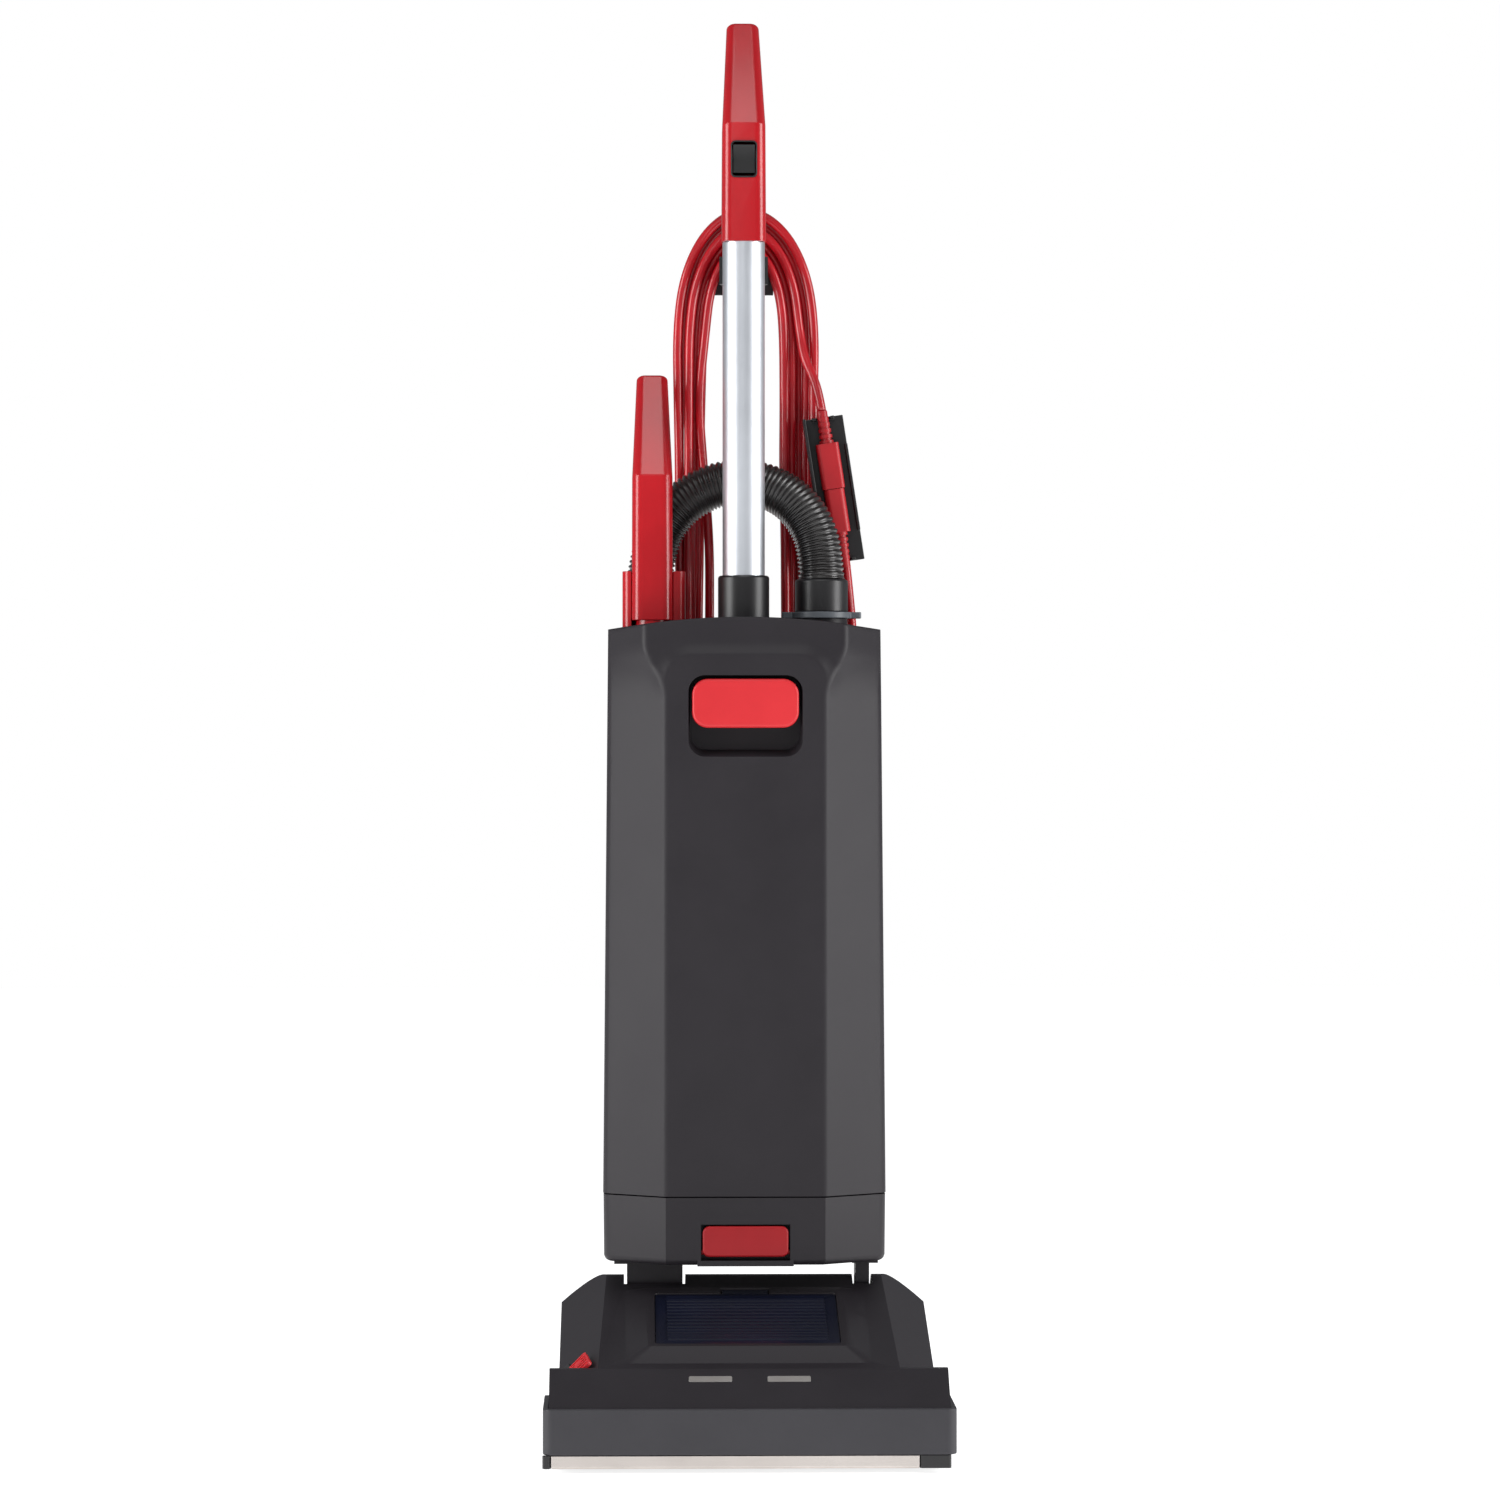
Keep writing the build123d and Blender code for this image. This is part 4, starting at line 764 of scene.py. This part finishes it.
class Head(Assembly):
    """The cleaner head: hood, bumper, edge strip, window, base pan and wheels."""

    mouldings = (
        Moulding("head_hood", BODY_ABS, 1.0), Moulding("bumper", BUMPER_ABS, 1.2),
        Moulding("edge_strip", STRIP_STEEL, 0.4), Moulding("strip_ends", FITTING_ABS, 0.8),
        Moulding("base_pan", FITTING_ABS, 0.8), Moulding("status_lenses", LENS_ACRYLIC, 0.3),
        Moulding("exhaust_window", WINDOW_TINT, 0.4), Moulding("release_pedal", LATCH_ABS, 0.6),
        Moulding("reset_button", FITTING_ABS, 0.5), Moulding("dirt_duct", FITTING_ABS, 0.8),
        Moulding("motor", PIN_STEEL, 0.6), Moulding("motor_pulley", PIN_STEEL, 0.4),
        Moulding("drive_belt", TYRE_RUBBER, 0.3), Moulding("brush_bearings", FITTING_ABS, 0.6),
        Moulding("brush_core", FITTING_ABS, 0.5), Moulding("pivot_pins", PIN_STEEL, 0.4),
        Moulding("wheel_axles", PIN_STEEL, 0.4), Moulding("roller_axles", PIN_STEEL, 0.3),
        Moulding("rear_wheel_left", TYRE_RUBBER, 1.5), Moulding("rear_wheel_right", TYRE_RUBBER, 1.5),
        Moulding("front_roller_left", TYRE_RUBBER, 1.0), Moulding("front_roller_right", TYRE_RUBBER, 1.0),
    )

    # how far the sloping exhaust window climbs for each millimetre towards the back
    window_rise = 0.235

    def special(self) -> None:
        """Makes the bristle tufts, the window's louvres and the exhaust filter's pleats."""
        self._bristles()
        self._louvres()
        pleated_block("exhaust_filter_pleats", "exhaust_filter", "head", FILTER_PAPER, 7.0,
                      rise=self.window_rise)

    def _louvres(self) -> None:
        """Lays saw-tooth louvres on the sloping window: each has an upright face and a nearly level back."""
        count, half, skirt = 13, 67.0, 2.4
        front, back = -93.0, 9.0
        # height of the glass at the origin: it is 99 up where it starts, 108 in front
        glass = 99.0 + self.window_rise * 108.0
        pitch = (back - front) / count
        start = front + np.arange(count) * pitch
        y = np.stack([start, start + 0.4, start + pitch * 0.94, start + pitch], axis=1).ravel()
        slope = glass + self.window_rise * y
        upper, lower = slope + np.tile([-1.6, 0.15, -0.35, -1.6], count), slope - skirt
        corners = ((-half, upper), (half, upper), (half, lower), (-half, lower))
        rings = np.stack([np.stack([np.full_like(y, x), y, z], axis=1) for x, z in corners], axis=1)
        louvres = loft_piece("window_louvres", rings, SHOP.get(WINDOW_TINT))
        louvres.data.shade_flat()
        placed(louvres, "window")

    def _bristles(self) -> None:
        """Fans nylon filaments out of the brush, in two helical rows that meet at the middle.

        A filament is a three-sided spike; every corner of every filament is worked out at once.
        """
        rng = np.random.default_rng(11)
        span, twist, belt = 132.0, 150.0, (90.0, 118.0)
        brush_y, brush_z, core_radius = -133.0, 33.0, 18.6
        per_tuft, tuft_radius, foot_share, tip_share = 90, 3.2, 0.55, 1.5
        thick, taper = 0.24, 0.6
        stations = np.linspace(-span, span, 21)
        stations = stations[(stations <= belt[0]) | (stations >= belt[1])]
        x, row = [grid.ravel() for grid in np.meshgrid(stations, np.array([0.0, 180.0]))]
        turn = np.radians(row + np.abs(x) / span * twist)
        x, turn = np.repeat(x, per_tuft), np.repeat(turn, per_tuft)
        spot = rng.uniform(0, 2 * math.pi, x.size)
        lean = np.sqrt(rng.uniform(0, 1, x.size)) * tuft_radius
        height = rng.uniform(13.0, 13.9, x.size)
        zero = np.zeros_like(turn)
        out = np.stack([zero, -np.sin(turn), np.cos(turn)], axis=1)
        side = np.stack([zero, np.cos(turn), np.sin(turn)], axis=1)
        along = np.tile([1.0, 0.0, 0.0], (x.size, 1))
        spread = along * (lean * np.cos(spot))[:, None] + side * (lean * np.sin(spot))[:, None]
        axis = np.stack([x, np.full_like(x, brush_y), np.full_like(x, brush_z)], axis=1)
        foot = axis + spread * foot_share + out * core_radius
        tip = axis + spread * tip_share + out * (core_radius + height)[:, None]
        corner = np.radians([0, 120, 240])
        offset = (np.cos(corner)[:, None, None] * along + np.sin(corner)[:, None, None] * side) * thick
        points = np.stack([foot + offset, tip + offset * taper], axis=0).transpose(2, 0, 1, 3).reshape(-1, 3)
        first = np.arange(x.size)[:, None] * 6
        sides = np.array([[[0, 1, 4, 3], [1, 2, 5, 4], [2, 0, 3, 5]]])
        faces = (first[:, :, None] + sides).reshape(-1, 4).tolist() + (first + [3, 4, 5]).tolist()
        tufts = make_piece("bristle_tufts", points, faces, SHOP.get(BRISTLE_NYLON), outward=False)
        placed(tufts, "brush", "brush_tufts")


def pleated_block(name: str, node_name: str, body: str, finish: Finish, pitch: float,
                  rise: float = 0.0) -> bpy.types.Object:
    """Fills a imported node's box with paper folded in even pleats.

    Args:
        name: The piece's name.
        node_name: The node that the block stands for.
        body: The body that it rides on.
        finish: The paper.
        pitch: Distance between folds in millimetres.
        rise: How far the node's top climbs per millimetre towards the back.

    Returns:
        The new object.
    """
    margin, paper = 1.0, 0.7
    low, high = (np.array(corner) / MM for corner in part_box(node_name))
    climb = rise * (high[1] - low[1])
    folds = int((high[0] - low[0]) / pitch) * 2 + 1
    x = np.linspace(low[0] + margin, high[0] - margin, folds)
    crest = np.where(np.arange(folds) % 2 == 0, low[2] + margin, high[2] - margin - climb)
    ends = ((low[1] + margin, 0.0), (high[1] - margin, climb))
    points = [np.stack([x, np.full(folds, y), crest + lift], axis=1) for y, lift in ends]
    piece = make_piece(name, np.concatenate(points), grid_faces(2, folds, False).tolist(), SHOP.get(finish),
                       outward=False)
    piece.modifiers.new("paper", "SOLIDIFY").thickness = paper * MM
    return placed(piece, body, node_name)


@dataclass
class BagDoor:
    """The front shell: a flat panel whose edge turns back at the sides and over the top.

    The proud panel's outline is a rectangle with round upper corners. The skin drops back from it at the
    sides, and round its upper corners to a brow that is wider than the panel.
    """

    half_panel: float = 68.0
    panel_top: float = 675.0
    panel_round: float = 22.0
    half_brow: float = 86.0
    flare_from: float = 636.0
    flare_to: float = 684.0
    brow_fall: float = 0.10
    drop: float = 5.5
    drop_run: float = 15.0
    drop_from: float = 636.0
    drop_fade: float = 34.0
    bottom: float = 213.6
    top_middle: float = 707.4
    top_side: float = 697.4
    crown_from: float = 640.0
    half_crown: float = 110.0
    top_edge: float = 2.0
    back: float = 54.6
    side_corner: float = 42.0
    # the shell narrows evenly from half_low at taper_from over taper_run
    half_low: float = 121.5
    half_high: float = 117.0
    taper_from: float = 213.5
    taper_run: float = 504.2
    wall: float = 2.8
    # half width, floor, ceiling and depth of the finger recess
    recess: tuple[float, float, float, float] = (49.0, 587.0, 657.4, 24.0)

    def build(self) -> None:
        """Makes the door with its finger recess, and the latch that hangs in it."""
        self._shell()
        self._latch()

    def _half_width(self, z: float) -> float:
        """Half width of the whole shell at a level."""
        return self.half_low + (self.half_high - self.half_low) * (z - self.taper_from) / self.taper_run

    def _outline(self, half: float, flat: float) -> Array:
        """One level's outline, from the left rear edge round the front to the right rear edge."""
        corners = np.array([(-half, self.back), (-half, self.side_corner), (-flat, 0.0), (flat, 0.0),
                            (half, self.side_corner), (half, self.back)])
        return through(corners, (12.0, 9.0, 9.0, 12.0), (3, 12, 96, 12, 3), 8)

    def _flat_half(self, z: float) -> float:
        """Half width of the flat front at a level: it widens smoothly into the brow."""
        share = min(max((z - self.flare_from) / (self.flare_to - self.flare_from), 0.0), 1.0)
        return self.half_panel + (self.half_brow - self.half_panel) * eased(share)

    def _dropped(self, x: Array, z: Array) -> Array:
        """How far the brow lies behind the panel: it drops just outside the panel's round corners."""
        inset = self.panel_round
        past_side = np.maximum(np.abs(x) - self.half_panel + inset, 0)
        past_top = np.maximum(z - self.panel_top + inset, 0)
        outside = np.clip((np.hypot(past_side, past_top) - inset) / self.drop_run, 0, 1)
        fade = np.clip((z - self.drop_from) / self.drop_fade, 0, 1)
        return self.drop * np.sin(outside * math.pi / 2) * eased(fade)

    def _level_row(self, z: float) -> Array:
        """The skin's points at one level, lifted by the crown and drawn back by the brow."""
        plan = self._outline(self._half_width(z), self._flat_half(z))
        rise = np.clip((z - self.crown_from) / (self.top_side - self.top_edge - self.crown_from), 0, 1)
        arch = np.clip(1 - (plan[:, 0] / self.half_crown) ** 2, 0, 1)
        level = z + (self.top_middle - self.top_side) * arch * rise**2
        front_share = np.clip((self.back - plan[:, 1]) / 14.0, 0, 1)
        lean = self.brow_fall * np.maximum(level - self.panel_top, 0)
        back = (self._dropped(plan[:, 0], level) + lean) * front_share
        return np.stack([plan[:, 0], np.minimum(plan[:, 1] + back, self.back), level], axis=1)

    def _rows(self) -> Array:
        """The outer skin's points: level rows up the front, then rows drawn back over the top."""
        low = np.linspace(self.bottom, 600.0, 20)
        high = np.linspace(603.0, self.top_side - self.top_edge, 64)
        rows = [self._level_row(float(z)) for z in np.concatenate([low, high])]
        rim = rows[-1]
        for step in np.radians([25, 50, 75, 90]):
            lifted = rim + self.top_edge * np.array([0.0, 1 - math.cos(step), math.sin(step)])
            lifted[:, 1] = np.minimum(lifted[:, 1], self.back)
            rows.append(lifted)
        brink = rows[-1]
        for share in np.arange(1, 9) / 8:
            drawn = brink.copy()
            drawn[:, 1] = brink[:, 1] + (self.back - brink[:, 1]) * share
            rows.append(drawn)
        return np.array(rows)

    def _shell(self) -> None:
        """Makes the skin, gives it its wall and cuts the finger recess."""
        rows = self._rows()
        faces = grid_faces(rows.shape[0], rows.shape[1], False).tolist()
        door = make_piece("bag_door_shell", rows.reshape(-1, 3), faces, SHOP.get(BODY_ABS), outward=False)
        self._close_corners(door)
        skin = door.modifiers.new("wall", "SOLIDIFY")
        skin.thickness, skin.offset, skin.use_even_offset = self.wall * MM, -1.0, False
        facing = np.array([face.normal[:] for face in door.data.polygons])
        if facing[:, 1].mean() > 0:
            door.data.flip_normals()
        self._cut_recess(door)
        door.data.shade_smooth()
        soft_edges(door, 1.0, 3, 35.0)
        placed(door, "door", "bag_door")

    def _close_corners(self, door: bpy.types.Object) -> None:
        """Merges the rows that run together at the top's two ends, and drops the slivers they leave."""
        near, corner_gap, corner_x = 2e-5, 1.1e-3, 0.104
        work = bmesh.new()
        work.from_mesh(door.data)
        bmesh.ops.remove_doubles(work, verts=work.verts, dist=near)
        corner_z = (self.top_side - 3) * MM
        corner = [point for point in work.verts if point.co.z > corner_z and abs(point.co.x) > corner_x]
        bmesh.ops.remove_doubles(work, verts=corner, dist=corner_gap)
        bmesh.ops.dissolve_degenerate(work, edges=work.edges, dist=near)
        work.to_mesh(door.data)
        work.free()

    def _cut_recess(self, door: bpy.types.Object) -> None:
        """Joins a walled block to the shell's inside and hollows the finger recess out of it."""
        half, low, high, deep = self.recess
        wall = 2.4
        block = self._pocket("pocket_block", half + wall, low - wall, high + wall, 1.2, deep + 2.2, 16.0, 0.0)
        hollow = self._pocket("pocket_hollow", half, low, high, -4.0, deep, 14.5, 7.0)
        for tool, kind in ((block, "UNION"), (hollow, "DIFFERENCE")):
            cut = door.modifiers.new(kind.lower(), "BOOLEAN")
            cut.object, cut.operation, cut.solver = tool, kind, "EXACT"
        bake(door)
        for tool in (block, hollow):
            bpy.data.objects.remove(tool)

    def _pocket(self, name: str, half: float, low: float, high: float, front: float, back: float,
                corner: float, floor_rise: float) -> bpy.types.Object:
        """A block with round corners between a front and a back; if its floor rises, its sides draw in."""
        draft = 2.0
        rings = []
        for share in np.linspace(0, 1, 5):
            inner = half - draft * share * (floor_rise > 0)
            bottom = low + floor_rise * share
            ring = rounded_ring(2 * inner, high - bottom, corner - draft * share, 9)
            y = np.full((len(ring), 1), front + (back - front) * share)
            rings.append(np.hstack([ring[:, :1], y, ring[:, 1:] + (high + bottom) / 2]))
        return loft_piece(name, np.array(rings), SHOP.get(BODY_ABS))

    def _latch(self) -> None:
        """Makes a plate with a broad soft rim, on a dark hinge rod."""
        half_width, height, middle, corner = 45.5, 41.8, 633.5, 13.6
        # the rim's section from front to back: distance behind the panel, and how far it is drawn in
        rim = ((-1.2, 3.4), (-1.2, 2.0), (-0.8, 1.0), (0.2, 0.3), (1.4, 0.0), (8.0, 0.0), (9.6, 0.5),
               (10.3, 1.6))
        rings = []
        for y, inset in rim:
            ring = rounded_ring(2 * (half_width - inset), height - 2 * inset, corner - inset, 10)
            rings.append(np.hstack([ring[:, :1], np.full((len(ring), 1), y), ring[:, 1:] + middle]))
        plate = loft_piece("door_latch_plate", np.array(rings), SHOP.get(LATCH_ABS))
        placed(plate, "door_latch", "door_latch")
        half_rod, rod_radius, rod_tip = 45.0, 1.9, 0.01
        section = np.array([(-half_rod, rod_tip), (-half_rod, rod_radius), (half_rod, rod_radius),
                            (half_rod, rod_tip)])
        rod = turned_piece("door_latch_rod", section, (0.0, 6.5, 647.0), 0, SHOP.get(FITTING_ABS), 24)
        placed(rod, "door_latch")


class Upright(Assembly):
    """The tilting body: its shells, door, latches and what is inside."""

    mouldings = (
        Moulding("rear_housing", BODY_ABS, 1.2), Moulding("lower_housing", BODY_ABS, 1.2),
        # the filter latch is the latch red darkened with painted shade
        Moulding("filter_latch", SHADED_LOW_LATCH_ABS, 1.0), Moulding("bag_dock", FITTING_ABS, 0.8),
        Moulding("bag_collar", FOAM_BLUE, 0.4), Moulding("wand_well", FITTING_ABS, 0.6),
        Moulding("tube_collar", FITTING_ABS, 1.0),
    )

    def special(self) -> None:
        """Makes the bag door with its latch, the paper bag and the pleated motor filter."""
        BagDoor().build()
        self._dust_bag()
        pleated_block("motor_filter_pleats", "motor_filter", "upright", FILTER_PAPER, 8.0)

    def _dust_bag(self) -> None:
        """Blows up a flat paper envelope: fullest at its middle, flat and creased at its seams."""
        low, high = (np.array(corner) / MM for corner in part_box("dust_bag"))
        half, middle = (high - low) / 2, (high + low) / 2
        rows, columns = 97, 65
        u, v = np.meshgrid(np.linspace(-1, 1, columns), np.linspace(-1, 1, rows))
        full = ((1 - u**6) * (1 - v**8)) ** 0.5
        crease = (0.05 * np.sin(17 * u + 3 * v) * np.abs(v) ** 3
                  + 0.04 * np.sin(23 * v + 2 * u) * np.abs(u) ** 3)
        skins = []
        for side in (-1.0, 1.0):
            y = side * half[1] * np.clip(full * (1 - crease), 0.02, 1)
            skins.append(np.stack([u * half[0], y, v * half[2]], axis=2) + middle)
        points = np.concatenate([skin.reshape(-1, 3) for skin in skins])
        front = grid_faces(rows, columns, False)
        # the seam joins the two skins' edges, walked round from the first corner
        number = np.arange(rows * columns).reshape(rows, columns)
        edge = np.concatenate([number[0], number[1:, -1], number[-1, -2::-1], number[-2:0:-1, 0]])
        following, behind = np.roll(edge, -1), rows * columns
        seam = np.stack([edge, following, following + behind, edge + behind], axis=1)
        faces = front.tolist() + (front[:, ::-1] + behind).tolist() + seam.tolist()
        bag = make_piece("paper_bag", points, faces, SHOP.get(BAG_PAPER))
        placed(bag, "upright", "dust_bag")


class Handle(Assembly):
    """The tube, the split grip with its switch, and the hooks that hold the wound lead."""

    mouldings = (
        Moulding("handle_tube", TUBE_ALUMINIUM, 0.4), Moulding("grip_front", GRIP_ABS, 0.8),
        Moulding("grip_rear", GRIP_ABS, 0.8), Moulding("switch_bezel", FITTING_ABS, 0.5),
        Moulding("power_switch", SWITCH_ABS, 0.8), Moulding("hook_mount", FITTING_ABS, 0.8),
        Moulding("top_cord_hook", FITTING_ABS, 1.2), Moulding("low_cord_hook", FITTING_ABS, 1.2),
        Moulding("connector_guard", FITTING_ABS, 1.0), Moulding("cord_socket", PLUG_PVC, 1.0),
        Moulding("cord_plug", PLUG_PVC, 1.0), Moulding("cord_inlet", FITTING_ABS, 1.0),
        Moulding("mains_plug", PLUG_PVC, 1.0),
    )

    def special(self) -> None:
        """Eases the rocker, so that it turns in its bezel without touching it."""
        rocker = bpy.data.objects["power_switch_moulding"].data
        middle = np.array([0.0, 0.0, 1.1035])
        ease = np.array([0.965, 1.0, 0.955])
        places = np.zeros(len(rocker.vertices) * 3)
        rocker.vertices.foreach_get("co", places)
        places = middle + (places.reshape(-1, 3) - middle) * ease
        rocker.vertices.foreach_set("co", places.ravel())


class Wand(Assembly):
    """The stored wand and the hose's fittings."""

    mouldings = (
        Moulding("wand_grip", GRIP_ABS, 0.8), Moulding("wand_tube", GRIP_ABS, 0.5),
        Moulding("wand_socket", GRIP_ABS, 1.0), Moulding("hose_cuff", FITTING_ABS, 0.8),
        Moulding("hose_lock_ring", GREY_ABS, 0.7), Moulding("hose_end_cuff", FITTING_ABS, 0.8),
    )


# ---- camera, light and ground ---------------------------------------------------------
@dataclass
class Studio:
    """A long-lens front view in a white studio with a soft box at each side, in metres.

    The camera stands turn degrees to the left of square-on, at eye height, this distance from the nose.
    """

    distance: float = 4.5
    turn: float = 1.26
    eye: float = 0.5937
    front: float = -0.17
    lens: float = 131.7

    def build(self) -> None:
        """Makes the camera, the ground, the lights and the white surroundings."""
        self._camera()
        self._world()
        self._ground()
        self._soft_box("left_box", (-2.2, -0.75, 1.0), (1.1, 1.9), 44.0)
        self._soft_box("right_box", (2.2, -0.65, 1.0), (1.1, 1.9), 44.0)
        self._soft_box("top_box", (0.0, -1.0, 2.9), (1.6, 0.9), 14.0)
        self._soft_box("front_box", (-0.5, -3.4, 2.2), (1.4, 1.0), 9.0)
        bpy.context.scene.view_settings.view_transform = "Standard"

    def _camera(self) -> None:
        """Sets a level camera that looks along its own turn from square-on."""
        data = bpy.data.cameras.new("front_view")
        data.lens, data.sensor_width = self.lens, 36.0
        camera = linked("front_view", data)
        turn = math.radians(self.turn)
        camera.location = (-math.sin(turn) * self.distance, self.front - math.cos(turn) * self.distance,
                           self.eye)
        camera.rotation_euler = (math.pi / 2, 0.0, -turn)
        bpy.context.scene.camera = camera

    def _world(self) -> None:
        """White where it is seen, and a soft grey fill on the object."""
        world = bpy.data.worlds.new("studio_white")
        bpy.context.scene.world = world
        world.use_nodes = True
        tree = world.node_tree
        tree.nodes.clear()
        ray = add_node(tree, "LightPath")
        seen = add_node(tree, "Background", {"Color": (1, 1, 1, 1), "Strength": 1.0})
        fill = add_node(tree, "Background", {"Color": linear("f4f6fa"), "Strength": 0.24})
        blend = add_node(tree, "MixShader")
        out = add_node(tree, "OutputWorld")
        tree.links.new(ray.outputs["Is Camera Ray"], blend.inputs[0])
        tree.links.new(fill.outputs[0], blend.inputs[1])
        tree.links.new(seen.outputs[0], blend.inputs[2])
        tree.links.new(blend.outputs[0], out.inputs[0])

    def _ground(self) -> None:
        """A glowing white floor that keeps only a faint contact shadow."""
        paint = bpy.data.materials.new("floor_white_paint")
        paint.use_nodes = True
        surface = paint.node_tree.nodes["Principled BSDF"]
        surface.inputs["Base Color"].default_value = linear("f2f2f2")
        surface.inputs["Roughness"].default_value = 0.9
        surface.inputs["Specular IOR Level"].default_value = 0.1
        surface.inputs["Emission Color"].default_value = (1, 1, 1, 1)
        surface.inputs["Emission Strength"].default_value = 0.84
        corners = np.array([(-4e3, -6e3, 0), (4e3, -6e3, 0), (4e3, 9e3, 0), (-4e3, 9e3, 0)], float)
        floor = make_piece("studio_floor", corners, [(0, 1, 2, 3)], paint, outward=False)

    def _soft_box(self, name: str, place: Sequence[float], size: Sequence[float], watts: float) -> None:
        """Adds a rectangular area light that faces the middle of the machine."""
        data = bpy.data.lights.new(name, "AREA")
        data.shape, data.size, data.size_y, data.energy = "RECTANGLE", size[0], size[1], watts
        lamp = linked(name, data)
        lamp.location = place
        aim = Vector((0.0, 0.0, 0.62)) - Vector(place)
        lamp.rotation_euler = aim.to_track_quat("-Z", "Y").to_euler()


def main() -> None:
    """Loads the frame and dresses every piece."""
    logging.basicConfig(level=logging.INFO, format="%(name)s: %(message)s")
    bpy.ops.wm.read_factory_settings(use_empty=True)
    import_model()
    Studio().build()
    for assembly in (Head(), Upright(), Handle(), Wand()):
        assembly.build()
    Cords().build()


if __name__ == "__main__":
    main()
